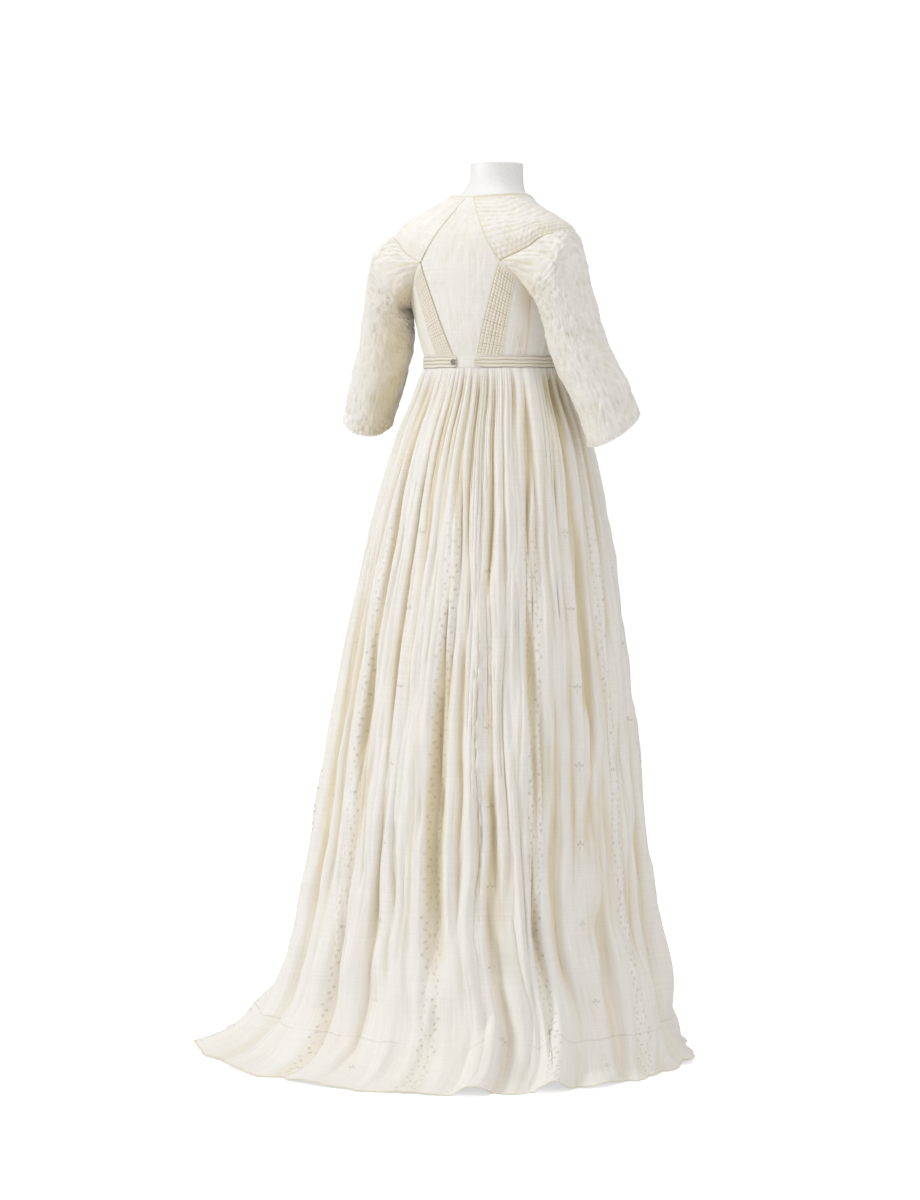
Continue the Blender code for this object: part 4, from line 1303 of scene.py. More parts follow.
    def front(self) -> None:
        """The front of the bodice, gathered at the waist."""
        torso = self.torso
        arm = torso.armhole(ARMHOLE_FRONT, np.linspace(0.0, 1.0, self.arm_columns + 1), corner=False)
        neck = torso.neckline(torso.front_seam, 180.0, self.neck_columns)
        seam_steps = 30
        seam = straight(arm[-1], neck[0], seam_steps)
        half = np.concatenate([arm, seam[1:], neck[1:]])
        other = half[-2::-1] * np.array([-1.0, 1.0]) + np.array([360.0, 0.0])
        top = np.concatenate([half, other])
        stops = (torso.side_seam, 116.0, torso.front_seam, 180.0)
        counts = (self.arm_columns, seam_steps, self.neck_columns)
        runs = [np.linspace(stops[i], stops[i + 1], count + 1)[1:] for i, count in enumerate(counts)]
        waist = np.concatenate([[torso.side_seam], *runs])
        waist = np.concatenate([waist, 360.0 - waist[-2::-1]])
        bottom = np.stack([waist, np.zeros(len(waist))], axis=-1)
        shares = (waist - waist[0]) / (waist[-1] - waist[0])
        rows = self.lower_rows - 22
        sides = [straight(bottom[end], top[end], rows) for end in (0, -1)]
        grid = patch(bottom, top, *sides, shares)
        up = np.linspace(0.0, 1.0, rows + 1)[:, None]
        wave = np.sin(2.0 * math.pi * (30.0 * shares + 0.5 * np.sin(17.0 * shares))) * (
            0.7 + 0.3 * np.sin(11.0 * shares))
        gathers = 0.0011 * wave[None] * (1.0 - rise(up, 0.05, 0.55)) * rise(up, 0.0, 0.02)
        sides = rise(np.minimum(shares, 1.0 - shares)[None], 0.01, 0.05)
        relief = (gathers + creases(shares[None], up, (0.46, 0.16), FRONT_CREASES)) * sides
        smocked = hump(np.minimum(shares, 1.0 - shares)[None], 0.045, 0.035)
        rows_of_gathers = np.abs(np.sin(math.pi * shares * 120.0))[None] * (1.0 - rise(up, 0.8, 1.0))
        relief += 0.0006 * smocked * rows_of_gathers
        relief *= rise(up, 0.0, 0.02) * (1.0 - rise(up, 0.97, 1.0))
        # Painted warm shade along the side seams
        painted_shade = 0.5 * hump(np.minimum(shares, 1.0 - shares), 0.0, 0.006)[None] * np.ones_like(up)
        self.panel("bodice_front", grid, relief, painted_shade)

    def neck_edge(self) -> np.ndarray:
        """The neckline all round."""
        torso = self.torso
        corner = torso.on_back(*torso.nape)
        back = straight(corner * np.array([-1.0, 1.0]), corner, 12)
        shoulder = torso.neckline(corner[0], torso.front_seam, self.shoulder_columns)
        shoulder[0] = corner
        front = torso.neckline(torso.front_seam, 180.0, self.neck_columns)
        side = np.concatenate([shoulder, front[1:]])
        other = side[-2:0:-1] * np.array([-1.0, 1.0]) + np.array([360.0, 0.0])
        return np.concatenate([back[:-1], side, other])

    def neck_binding(self) -> None:
        """The narrow rolled binding round the neck."""
        edge = self.neck_edge()
        points = self.torso.point(edge[:, 0], edge[:, 1])
        normals = self.torso.normal(edge[:, 0], edge[:, 1])
        shares = np.linspace(0.0, 1.0, 13)
        rows = []
        for share in shares:
            base = step_in(points, normals, 0.0001 + (self.binding - 0.0001) * share)
            roll = 0.0006 + (self.binding_rise - 0.0004) * math.sin(math.pi * share) ** 0.6
            wave = 0.00025 * np.sin(np.arange(len(edge)) * 0.9 + 3.0 * share)
            rows.append(base + normals * (roll + wave * math.sin(math.pi * share))[:, None])
        grid = np.array(rows)
        places = cloth_places(np.concatenate([grid, grid[:, :1]], axis=1))
        # Painted warm shade along both edges of the rolled binding
        valleys = np.repeat(0.25 * (1.0 - np.sin(math.pi * shares))[:, None], len(edge), axis=1)
        piece = cloth_object("neck_binding", grid, places, valleys, self.shell, closed=True)
        dress(piece, self.material, "neck_binding")
        cut_out(piece, grid, self.binding_cut)


@dataclass
class SeamStitches:
    """Small hand stitches along the left seams of the diamond back."""

    torso: Torso
    finish: PlainFinish
    effects: Effects
    length: float = 0.0021
    gap: float = 0.0017
    radius: float = 0.00028
    lift: float = 0.0013
    inset: float = 0.8
    knot_radius: float = 0.0016

    def build(self) -> None:
        """Make the two rows of stitches and the knot where they meet."""
        torso = self.torso
        bm = bmesh.new()
        for low, high in ((torso.waist, torso.corner), (torso.corner, torso.nape)):
            line = torso.seam(low, high, 200) * np.array([-1.0, 1.0])
            line[:, 0] += self.inset
            points = torso.point(line[:, 0], line[:, 1]) + torso.normal(line[:, 0], line[:, 1]) * self.lift
            walked = np.concatenate([[0.0], np.cumsum(np.linalg.norm(np.diff(points, axis=0), axis=1))])
            for start in np.arange(0.004, walked[-1] - 0.005, self.length + self.gap):
                ends = [Vector(np.array([np.interp(at, walked, points[:, k]) for k in range(3)]))
                        for at in (start, start + self.length)]
                self.stitch(bm, (ends[0] + ends[1]) / 2.0, ends[1] - ends[0], self.radius)
        corner = torso.on_back(*torso.corner) * np.array([-1.0, 1.0])
        knot = torso.point(*corner) + torso.normal(*corner) * self.lift
        self.stitch(bm, Vector(knot), Vector((0.0, 0.0, self.length)), self.knot_radius)
        piece = mesh_object("seam_stitches", bm)
        dress(piece, self.finish.material(self.effects))

    @staticmethod
    def stitch(bm: bmesh.types.BMesh, middle: Vector, run: Vector, radius: float) -> None:
        """Add one stitch: a small drawn-out bead along a run.

        Args:
            bm: The mesh to add to.
            middle: The stitch's middle.
            run: Its direction and length.
            radius: Its radius.
        """
        turn = run.to_track_quat("Z", "Y").to_matrix().to_4x4()
        size = Matrix.Diagonal((radius, radius, run.length / 2.0, 1.0))
        bmesh.ops.create_uvsphere(bm, u_segments=8, v_segments=6, radius=1.0,
                                  matrix=Matrix.Translation(middle) @ turn @ size)


@dataclass
class Sleeve:
    """An elbow-length sleeve from the armhole to its tilted hem."""

    side: Side
    bodice: Bodice
    hem_rise: float
    rows: int = 108
    cloth: float = 0.0012
    shell: float = 0.0007
    seat: float = 0.6
    middle: tuple[float, float] = (0.040, 1.262)
    reach: tuple[float, float] = (0.072, 0.057)
    pucker_count: int = 30
    pucker_rise: float = 0.0032
    crumple_rise: float = 0.0015
    hem_place: float = 5.72
    cut: tuple[float, float] = (0.36, 0.34)
    # The back of the sleeve head lies flat over the armhole: middle, half width, how far down, rise, share
    head_flat: tuple[float, float, float, float, float] = (0.11, 0.11, 2.7, 0.004, 0.85)

    def edge(self) -> np.ndarray:
        """The armhole all round, from the diamond's corner down the back."""
        torso = self.bodice.torso
        back = torso.armhole(ARMHOLE_BACK, np.linspace(0.0, 1.0, 41))
        front = torso.armhole(ARMHOLE_FRONT, np.linspace(0.0, 1.0, 61), corner=False)
        top = torso.armhole(ARMHOLE_TOP, np.linspace(0.0, 1.0, 91))[::-1]
        return np.concatenate([back[:-1], front[:-1], top[:-1]])

    @staticmethod
    def ring(row: Sequence[float], turns: np.ndarray) -> np.ndarray:
        """One ring of the right sleeve, from a row of the ring table.

        Args:
            row: The row of the table.
            turns: Angles round the ring in radians.

        Returns:
            One point for each angle.
        """
        x, y, z, outward, deep, lean, tilt = row
        lean, tilt = math.radians(lean), math.radians(tilt)
        out = np.array([-math.cos(lean), 0.0, math.sin(lean)])
        back = np.array([0.0, math.cos(tilt), -math.sin(tilt)])
        middle = np.array([-x, y, z])
        return middle + outward * np.cos(turns)[:, None] * out + deep * np.sin(turns)[:, None] * back

    def surface(self) -> tuple[np.ndarray, np.ndarray]:
        """The sleeve's plain surface.

        Returns:
            Rows and columns of points of the right sleeve, and the place of each row down it.
        """
        torso = self.bodice.torso
        edge = self.edge()
        seam = torso.point(edge[:, 0], edge[:, 1])
        normals = torso.normal(edge[:, 0], edge[:, 1])
        start = step_in(seam + normals * self.cloth * self.seat, normals, 0.0001)
        spread = (seam[:, 1:] - np.array(self.middle)) / np.array(self.reach)
        turns = np.unwrap(np.arctan2(spread[:, 0], spread[:, 1]))
        full = math.copysign(2.0 * math.pi, turns[-1] - turns[0])
        even = np.linspace(turns[0], turns[0] + full, len(turns) + 1)[:-1]
        loops = [start]
        for number, row in enumerate(SLEEVE_RINGS):
            share = min(1.0, number / 3.0)
            loops.append(self.ring(row, turns + (even - turns) * share))
        loops[-1][:, 2] += self.hem_rise
        table = np.array(loops)
        part = np.linspace(0.0, 1.0, self.rows + 1)
        place = (len(loops) - 1) * (0.82 * part + 0.18 * part ** 2)
        grid = smooth(table.reshape(len(loops), -1), place).reshape(len(place), -1, 3)
        return self.flatten_head(grid, place), place

    def flatten_head(self, grid: np.ndarray, place: np.ndarray) -> np.ndarray:
        """Draw the cloth of the sleeve head's back straight from the armhole to the arm.

        Args:
            grid: Rows and columns of the sleeve.
            place: Place of each row down it.

        Returns:
            The changed rows and columns.
        """
        middle, width, depth, lift, share = self.head_flat
        turn = np.arange(grid.shape[1]) / grid.shape[1]
        last = int(np.searchsorted(place, depth))
        walked = np.linalg.norm(np.diff(grid[:last + 1], axis=0), axis=-1)
        walked = np.concatenate([np.zeros((1, grid.shape[1])), np.cumsum(walked, axis=0)])
        part = (walked / walked[-1])[..., None]
        chord = grid[:1] + (grid[last:last + 1] - grid[:1]) * part
        chord[..., 1] += lift * np.sin(math.pi * part[..., 0])
        weight = share * hump(turn, middle, width)[None, :, None] * np.sin(math.pi * part) ** 0.5
        flat = grid.copy()
        flat[:last + 1] += (chord - grid[:last + 1]) * weight
        return flat

    def build(self) -> None:
        """Make the sleeve and its hem line."""
        grid, place = self.surface()
        normals = grid_normals(grid, closed=True)
        count = grid.shape[1]
        turn = np.arange(count)[None] / count
        down = place[:, None]
        length = place[-1]
        places = cloth_places(np.concatenate([grid, grid[:, :1]], axis=1))
        relief = creases(turn, down / length, (0.31, 0.30), SLEEVE_CREASES, wrap=True)
        seed = 12.0 + 5.0 * self.side.value
        around = tube(2.0 * math.pi * turn, 0.055 * down + 0.016 * np.sin(2.0 * math.pi * turn), 0.05)
        relief += crumple(around, (0.030, 0.030, 0.022), seed, 2) * self.crumple_rise
        slanted = around + np.array([0.0, 0.0, 0.5]) * around[..., :1]
        fine = crumple(slanted, (0.0080, 0.0080, 0.013), seed + 2.0, 3)
        relief -= np.abs(fine) * self.crumple_rise * 1.7 - self.crumple_rise * 0.5
        head = rise(turn, 0.46, 0.56) + (1.0 - rise(turn, 0.0, 0.12))
        pucker = np.abs(np.sin(math.pi * self.pucker_count * (turn + 0.004 * np.sin(50.0 * turn)))) ** 0.8
        relief += self.pucker_rise * pucker * np.clip(head, 0.25, 1.0) * (
            rise(down, 0.04, 0.16) * (1.0 - rise(down, 0.30, 0.95)))
        relief *= rise(down, 0.0, 0.30)
        facing = hump(down, self.hem_place, 0.02)
        relief += 0.0004 * rise(down, self.hem_place - 0.03, self.hem_place + 0.01) - 0.0005 * facing
        lift = self.cloth * rise(down, 0.0, 0.22)
        outer = grid + normals * (lift + relief)[..., None]
        # Painted warm shade under the arm by the head, on the side that faces the body lower down (stronger
        # on the left), in the creases and in the hollows of the head's puckers
        under = hump(turn, 0.20, 0.12) * (1.0 - rise(down, 0.3, 2.6))
        inside = hump(turn, 0.22, 0.13) * rise(down, 1.0, 3.0) * (0.60 if self.side is Side.LEFT else 0.15)
        valleys = np.clip(-relief / 0.0026, 0.0, 1.0) * 0.20 + 0.75 * under + inside
        valleys += 0.55 * (1.0 - pucker) ** 2 * np.clip(head, 0.0, 1.0) * (1.0 - rise(down, 0.3, 1.0))
        name = "sleeve_" + self.side.word
        piece = cloth_object(name, self.side.place(outer), places, np.clip(valleys, 0.0, 1.0), self.shell,
                             closed=True)
        dress(piece, self.bodice.material, name)
        cut_out(piece, np.concatenate([outer, outer[:, :1]], axis=1), self.cut)


@dataclass
class Waist:
    """The waistband, the ridged belt over it and the thread button."""

    torso: Torso
    cloth_finish: CottonFinish
    belt_finish: CottonFinish
    thread_finish: PlainFinish
    effects: Effects
    band: tuple[float, float] = (1.105, 1.125)
    band_cloth: float = 0.0014
    band_cut: tuple[float, float] = (0.68, 0.022)
    belt: tuple[float, float] = (1.1060, 1.1235)
    belt_ends: tuple[float, float] = (9.0, 353.0)
    belt_lift: float = 0.0018
    belt_cloth: float = 0.0012
    belt_cut: tuple[float, float] = (0.655, 0.022)
    ridge: float = 0.0013
    ridges: int = 3
    end_height: float = 0.6
    button_angle: float = -9.5
    button_radius: float = 0.0045
    button_lift: float = 0.0044
    button_thickness: float = 0.0028

    def build(self) -> None:
        """Make all of the waist's pieces."""
        self.waistband()
        self.belt_strip()
        self.button()

    def waistband(self) -> None:
        """The ring of the raised waist, with two soft rolls."""
        angles = np.arange(300) * 1.2
        shares = np.linspace(0.0, 1.0, 15)
        rows = []
        for share in shares:
            roll = 0.0004 * abs(math.sin(2.0 * math.pi * share)) - 0.0003
            wave = 0.0002 * np.sin(angles * 0.7 + 2.0 * share)
            rows.append(self.torso.waist_ring(angles, self.band[0] + (self.band[1] - self.band[0]) * share,
                                              self.band_cloth + roll + wave))
        grid = np.array(rows)
        places = cloth_places(np.concatenate([grid, grid[:, :1]], axis=1))
        piece = cloth_object("waistband", grid, places, np.zeros(grid.shape[:2]), 0.0007, closed=True)
        dress(piece, self.cloth_finish.material(self.effects), "waistband")
        cut_out(piece, grid, self.band_cut)

    def belt_strip(self) -> None:
        """The narrow belt in three ridges, drawn in at its end."""
        first, last = self.belt_ends
        angles = first + (last - first) * np.linspace(0.0, 1.0, 320)
        away = np.radians(angles - first) * 0.105
        shares = np.linspace(0.0, 1.0, 19)
        middle = sum(self.belt) / 2.0
        drawn = self.end_height + (1.0 - self.end_height) * np.sqrt(rise(away, 0.0, 0.016))
        other = np.radians(last - angles) * 0.105
        drawn = drawn * (0.86 + 0.14 * np.sqrt(rise(other, 0.0, 0.006)))
        rows = []
        for share in shares:
            profile = abs(math.sin(self.ridges * math.pi * share)) ** 1.4
            height = self.belt[0] + (self.belt[1] - self.belt[0]) * share
            soft = crumple(tube(np.radians(angles), np.float64(share * 0.02), 0.11), (0.012, 0.012, 0.006),
                           3.0) * 0.0003
            gather = 0.0006 * np.sin(share * 40.0) * (1.0 - rise(away, 0.004, 0.020))
            lift = self.belt_lift + self.belt_cloth + self.ridge * profile - 0.0002 + soft + gather
            row = self.torso.waist_ring(angles, height, lift)
            row[:, 2] = middle + (height - middle) * drawn + 0.0003 * np.sin(away * 160.0)
            rows.append(row)
        grid = np.array(rows)
        places = cloth_places(grid)
        # Painted warm shade in the grooves between the belt's ridges
        valleys = np.repeat((1.0 - np.abs(np.sin(self.ridges * math.pi * shares)))[:, None] ** 2 * 1.1,
                            len(angles), axis=1)
        piece = cloth_object("belt", grid, places, valleys, 0.0012)
        dress(piece, self.belt_finish.material(self.effects), "belt")
        cut_out(piece, grid, self.belt_cut)

    def button(self) -> None:
        """The button: thread wound over a ring and drawn to its middle."""
        bm = bmesh.new()
        bmesh.ops.create_uvsphere(bm, u_segments=96, v_segments=20, radius=1.0)
        for vert in bm.verts:
            turn = math.atan2(vert.co.y, vert.co.x)
            out = vert.co.xy.length
            wound = 1.0 + 0.05 * abs(math.sin(12.0 * turn)) * min(1.0, out * 2.0)
            dish = 1.0 - 0.55 * math.exp(-(out / 0.35) ** 2) + 0.35 * math.exp(-(out / 0.12) ** 2)
            vert.co = (vert.co.x * self.button_radius * wound, vert.co.y * self.button_radius * wound,
                       vert.co.z * self.button_thickness / 2.0 * dish * wound)
        angle = np.array([self.button_angle])
        height = sum(self.belt) / 2.0
        lift = np.array([self.button_lift + self.button_thickness / 2.0])
        place = self.torso.waist_ring(angle, height, lift)[0]
        facing = place - self.torso.waist_ring(angle, height, np.array([0.0]))[0]
        turn = Vector(facing).to_track_quat("Z", "Y").to_matrix().to_4x4()
        bmesh.ops.transform(bm, matrix=Matrix.Translation(place) @ turn, verts=bm.verts[:])
        dress(mesh_object("button", bm), self.thread_finish.material(self.effects), "button")


@dataclass(frozen=True)
class Lumps:
    """Soft unevenness of the skirt's cloth: sizes round and along, pattern and rise."""

    round_size: float
    along_size: float
    seed: float
    rise: float

    def read(self, around: np.ndarray) -> np.ndarray:
        """Its rise at places round the skirt."""
        size = (self.round_size, self.round_size, self.along_size)
        return crumple(around, size, self.seed, 2) * self.rise


@dataclass
class Skirt:
    """The long gathered skirt in five panels, from the waistband to the floor."""

    finish: CottonFinish
    effects: Effects
    cloth: float = 0.0016
    shell: float = 0.0008
    row_step: float = 0.0076
    columns: int = 16
    floor_share: float = 0.7
    waist_fold: float = 0.0012
    gather_share: float = 0.55
    sharpness: float = 2.4
    hem_lift: float = 0.006
    lift_top: float = 0.12
    cloth_round: float = 2.7
    angle_heights: tuple[float, ...] = (0.20, 0.65, 1.09)
    fold_heights: tuple[float, ...] = (0.0, 0.20, 0.65, 1.00, 1.087, 1.1047)
    # Where the hem spreads on the floor: angle, width of the spread, reach
    spreads: tuple = ((298.0, 60.0, 0.036), (92.0, 40.0, 0.010))
    # Panels: name, first and last valley
    panels: tuple = (
        ("skirt_back_right", 3, 10),
        ("skirt_side_right", 10, 15),
        ("skirt_front", 15, 24),
        ("skirt_side_left", 24, 30),
        ("skirt_back_left", 30, 40),
    )
    # The flat stretch of the waist, almost without narrow gathers: first and last angle, share of their depth
    flat_zone: tuple[float, float] = (37.0, 52.0)
    flat_share: float = 0.2
    gather_depths: tuple[float, float] = (0.0032, 0.0060)
    gather_reach: tuple[float, float] = (0.14, 0.46)
    # Closer, deeper pleats beside the gap of the belt: first and last angle, share of their depth
    pleat_zone: tuple[float, float] = (7.0, 31.0)
    pleat_share: float = 1.35
    seam_fold: int = 3
    # The folds of the back fall straight to the floor: middle angle, half width, turn at the floor
    hem_turn: tuple[float, float, float] = (30.0, 55.0, 6.5)
    edge_wave: float = 0.0012
    line_depth: float = 0.0014
    depth_lumps: Lumps = Lumps(0.045, 0.30, 31.0, 1.1)
    narrow_lumps: Lumps = Lumps(0.017, 0.26, 5.0, 0.0030)
    hem_lumps: Lumps = Lumps(0.10, 0.17, 21.0, 0.0085)
    middle_lumps: Lumps = Lumps(0.050, 0.14, 9.0, 0.0034)
    fine_lumps: Lumps = Lumps(0.011, 0.040, 7.0, 0.0008)
    seam_lumps: Lumps = Lumps(0.006, 0.018, 15.0, 0.0026)
    line_lumps: Lumps = Lumps(0.030, 0.20, 41.0, 1.3)
    # Depths where the painted warm shade of the valleys starts, and how much deeper it is full
    valley_depths: tuple[float, float] = (0.0035, 0.0100)
    # Ridges and hollows at the hem: angle, top height, half width at the floor in degrees, rise in mm
    hem_ridges: tuple = (
        (34.0, 0.120, 4.6, 18.0),
        (28.5, 0.100, 2.4, -7.0),
        (39.5, 0.100, 2.4, -6.0),
        (52.5, 0.125, 3.4, 18.0),
        (47.0, 0.110, 2.2, -9.0),
        (66.0, 0.060, 4.0, 7.0),
        (-6.0, 0.050, 5.0, 7.0),
        (-33.0, 0.070, 6.0, 9.0),
        (-58.0, 0.110, 7.0, 12.0),
        (101.0, 0.060, 5.0, 8.0),
        (140.0, 0.050, 6.0, 8.0),
        (196.0, 0.060, 6.0, 8.0),
        (238.0, 0.050, 5.0, 7.0),
        (271.0, 0.070, 6.0, 9.0),
    )

    def build(self) -> None:
        """Make the five panels."""
        self.rows = self.row_places()
        material = self.finish.material(self.effects)
        outer, places, valleys, spread = self.whole()
        count = outer.shape[1]
        for name, first, last in self.panels:
            picked = np.arange(first * self.columns, last * self.columns + 1)
            turns, picked = np.divmod(picked, count)
            cloth = places[:, picked]
            cloth[..., 0] += turns * self.cloth_round
            piece = cloth_object(name, outer[:, picked], cloth, valleys[:, picked], self.shell,
                                 spread=spread[:, picked])
            dress(piece, material, name)
            cut_out(piece, outer[:, picked], (float(np.ptp(cloth[..., 0])), self.cloth_length))

    def row_places(self) -> np.ndarray:
        """Places of the rows in the outline table, about evenly spaced down the cloth."""
        table = np.array(SKIRT_OUTLINE)
        fine = np.linspace(0.0, len(table) - 1, 2400)
        drop = smooth(table[:, 0], fine)
        out = smooth(table[:, 2] + table[:, 3], fine)
        walked = np.concatenate([[0.0], np.cumsum(np.hypot(np.diff(drop), np.diff(out)))])
        self.cloth_length = float(walked[-1])
        count = round(self.cloth_length / self.row_step)
        return np.interp(np.linspace(0.0, walked[-1], count + 1), walked, fine)

    def fold_state(self, number: int, heights: np.ndarray) -> tuple[np.ndarray, np.ndarray]:
        """Angles and depths of a valley at heights.

        Args:
            number: The valley, counted round.
            heights: Heights of the rows.

        Returns:
            The valley's angles in degrees and its depths in metres.
        """
        turns, index = divmod(number, len(SKIRT_FOLDS))
        waist, knee, hem, top, middle, low = SKIRT_FOLDS[index]
        angle = bend(heights, self.angle_heights, np.array([[hem], [knee], [waist]], dtype=float))[:, 0]
        share = self.gather_share
        depths = np.array([low * self.floor_share, low, middle, share * top + (1.0 - share) * middle, top,
                           self.waist_fold * 1000.0]) / 1000.0
        depth = bend(heights, self.fold_heights, depths[:, None])[:, 0]
        return angle + 360.0 * turns, np.maximum(depth, 0.0)

    def wander(self, number: int, height: np.ndarray) -> np.ndarray:
        """Sideways drift of a valley down its length, in degrees.

        Args:
            number: The valley, counted round.
            height: Heights of the rows.

        Returns:
            The drift at each height.
        """
        shuffle = np.random.RandomState(3 * (number % len(SKIRT_FOLDS)) + 5)
        drift = np.zeros(len(height))
        for length, size in zip((0.62, 0.29, 0.15), (1.0, 0.5, 0.16)):
            drift += size * shuffle.uniform(0.4, 1.0) * np.sin(
                2.0 * math.pi * (height / length + shuffle.uniform(0.0, 1.0)))
        middle, width, turn = self.hem_turn
        hem_angle = SKIRT_FOLDS[number % len(SKIRT_FOLDS)][2]
        swing = turn * hump(self.aside(hem_angle, middle), 0.0, width) * (1.0 - rise(height, 0.0, 0.24))
        return drift * rise(SKIRT_OUTLINE[0][0] - height, 0.02, 0.30) + swing

    def fold_columns(self, number: int, height: np.ndarray) -> tuple[np.ndarray, ...]:
        """The columns from one valley up to the next.

        Args:
            number: The valley.
            height: Heights of the rows.

        Returns:
            Angle, depth of the fold, height of its ridge, depth of the narrow gathers and angle at the knee,
            with one row for each height.
        """
        start, start_depth = self.fold_state(number, height)
        end, end_depth = self.fold_state(number + 1, height)
        start, end = start + self.wander(number, height), end + self.wander(number + 1, height)
        shuffle = np.random.RandomState(number + 11)
        lean = shuffle.uniform(-0.6, 0.6)
        count = shuffle.choice((2, 3, 3))
        size = shuffle.uniform(*self.gather_depths)
        reach = shuffle.uniform(*self.gather_reach)
        uneven = shuffle.uniform(0.40, 1.0, size=4)
        if self.flat_zone[0] < SKIRT_FOLDS[number][0] < self.flat_zone[1]:
            size *= self.flat_share
        if self.pleat_zone[0] < SKIRT_FOLDS[number][0] < self.pleat_zone[1]:
            size *= self.pleat_share
            count = 4
        part = np.arange(self.columns) / self.columns
        leaned = part + lean * np.sin(2.0 * math.pi * part) / (2.0 * math.pi)
        near = (0.5 + 0.5 * np.cos(math.pi * leaned)) ** self.sharpness
        far = (0.5 - 0.5 * np.cos(math.pi * leaned)) ** self.sharpness
        angle = start[:, None] + (end - start)[:, None] * part
        cut = start_depth[:, None] * near + end_depth[:, None] * far
        ridge = np.ones((len(height), 1)) * (1.0 - near - far)
        wave = (0.5 - 0.5 * np.cos(2.0 * math.pi * count * part)) ** 1.5
        wave = wave * uneven[(part * count).astype(int)]
        below = (SKIRT_OUTLINE[0][0] - height)[:, None]
        fade = (1.0 - rise(below, reach * 0.2, reach)) * rise(below, 0.0, 0.012)
        knee_start, knee_end = SKIRT_FOLDS[number][1], SKIRT_FOLDS[(number + 1) % len(SKIRT_FOLDS)][1]
        knee = knee_start + ((knee_end - knee_start) % 360.0) * part * np.ones((len(height), 1))
        return angle, cut, ridge, size * wave * fade, knee

    def whole(self) -> tuple[np.ndarray, ...]:
        """The whole skirt round the body.

        Returns:
            Rows and columns of points on its outer face, their cloth coordinates, how much painted warm fold
            shade they get and how wide the cloth lies there against its cut.
        """
        table = np.array(SKIRT_OUTLINE)
        height, half, depth, middle, spread = (smooth(table[:, k], self.rows)[:, None] for k in range(5))
        parts = [self.fold_columns(number, height[:, 0]) for number in range(len(SKIRT_FOLDS))]
        angle, cut, ridge, gathers, knee = (np.concatenate(group, axis=1) for group in zip(*parts))
        turn = np.radians(angle)
        points = np.stack([-half * np.sin(turn), middle + depth * np.cos(turn),
                           height * np.ones_like(angle)], axis=-1)
        inward = -unit(np.stack([-np.sin(turn) / half, np.cos(turn) / depth, np.zeros_like(angle)], axis=-1))
        for at, width, reach in self.spreads:
            aside = np.clip(self.aside(angle, at) / width, -1.0, 1.0)
            points -= inward * (reach * spread * (0.5 + 0.5 * np.cos(math.pi * aside)))[..., None]

        along = np.linspace(self.cloth_length, 0.0, len(self.rows))[:, None]
        around = tube(np.radians(knee), along, self.cloth_round / (2.0 * math.pi))
        below = SKIRT_OUTLINE[0][0] - height
        cut = cut * np.clip(0.95 + self.depth_lumps.read(around), 0.25, 1.6)
        soft = self.narrow_lumps.read(around) * rise(below, 0.02, 0.35)
        soft *= 0.45 + 0.55 * rise(height, 0.06, 0.34)
        soft += self.hem_lumps.read(around) * (1.0 - rise(height, 0.12, 0.42))
        soft += self.middle_lumps.read(around) * rise(below, 0.1, 0.7)
        soft += self.fine_lumps.read(around) * rise(below, 0.02, 0.2)
        seam = self.fold_state(self.seam_fold, height[:, 0])[0] + self.wander(self.seam_fold, height[:, 0])
        seam_place = hump(self.aside(angle, seam[:, None]), 0.0, 2.4)
        crushed = seam_place * rise(height, 0.12, 0.25) * (1.0 - rise(height, 0.60, 0.74))
        soft += self.seam_lumps.read(around) * crushed
        part = np.tile(np.arange(self.columns) / self.columns, len(SKIRT_FOLDS))[None]
        uneven = np.clip(0.45 + self.line_lumps.read(around), 0.0, 1.0)
        line = hump(np.minimum(part, 1.0 - part), 0.0, 0.07) * uneven * rise(below, 0.0, 0.05)
        flank = rise(part, 0.50, 0.86) * (1.0 - rise(part, 0.93, 1.0)) * uneven * rise(below, 0.01, 0.10)
        cut = cut + self.line_depth * line
        points += inward * (cut + gathers - soft)[..., None]

        # How far the hem ridges stand up; it takes the painted fold shade off them
        bright = np.zeros_like(angle)
        lift = np.clip(1.0 - height / self.lift_top, 0.0, 1.0) * rise(height, 0.0, 0.010)
        points[..., 2] += self.hem_lift * lift * ridge
        for at, top, width, size in self.hem_ridges:
            widened = width * (0.22 + 0.78 * (1.0 - np.clip(height / top, 0.0, 1.0)))
            bump = hump(self.aside(angle, at), 0.0, widened) * (1.0 - rise(height, top * 0.45, top))
            bump = bump * size * 0.001
            bright = bright + np.clip(bump / 0.012, 0.0, 1.0)
            points -= inward * bump[..., None] * 0.35
            points[..., 2] += bump * 0.85
        sway = np.radians(angle)
        wavy = 1.0 + np.sin(17.0 * sway + 2.0 * np.sin(5.0 * sway))
        points[..., 2] += self.edge_wave * (1.0 - rise(along, 0.0, 0.05)) * wavy
        outer = points + grid_normals(points, closed=True) * self.cloth
        outer[..., 2] = np.maximum(outer[..., 2], self.cloth)
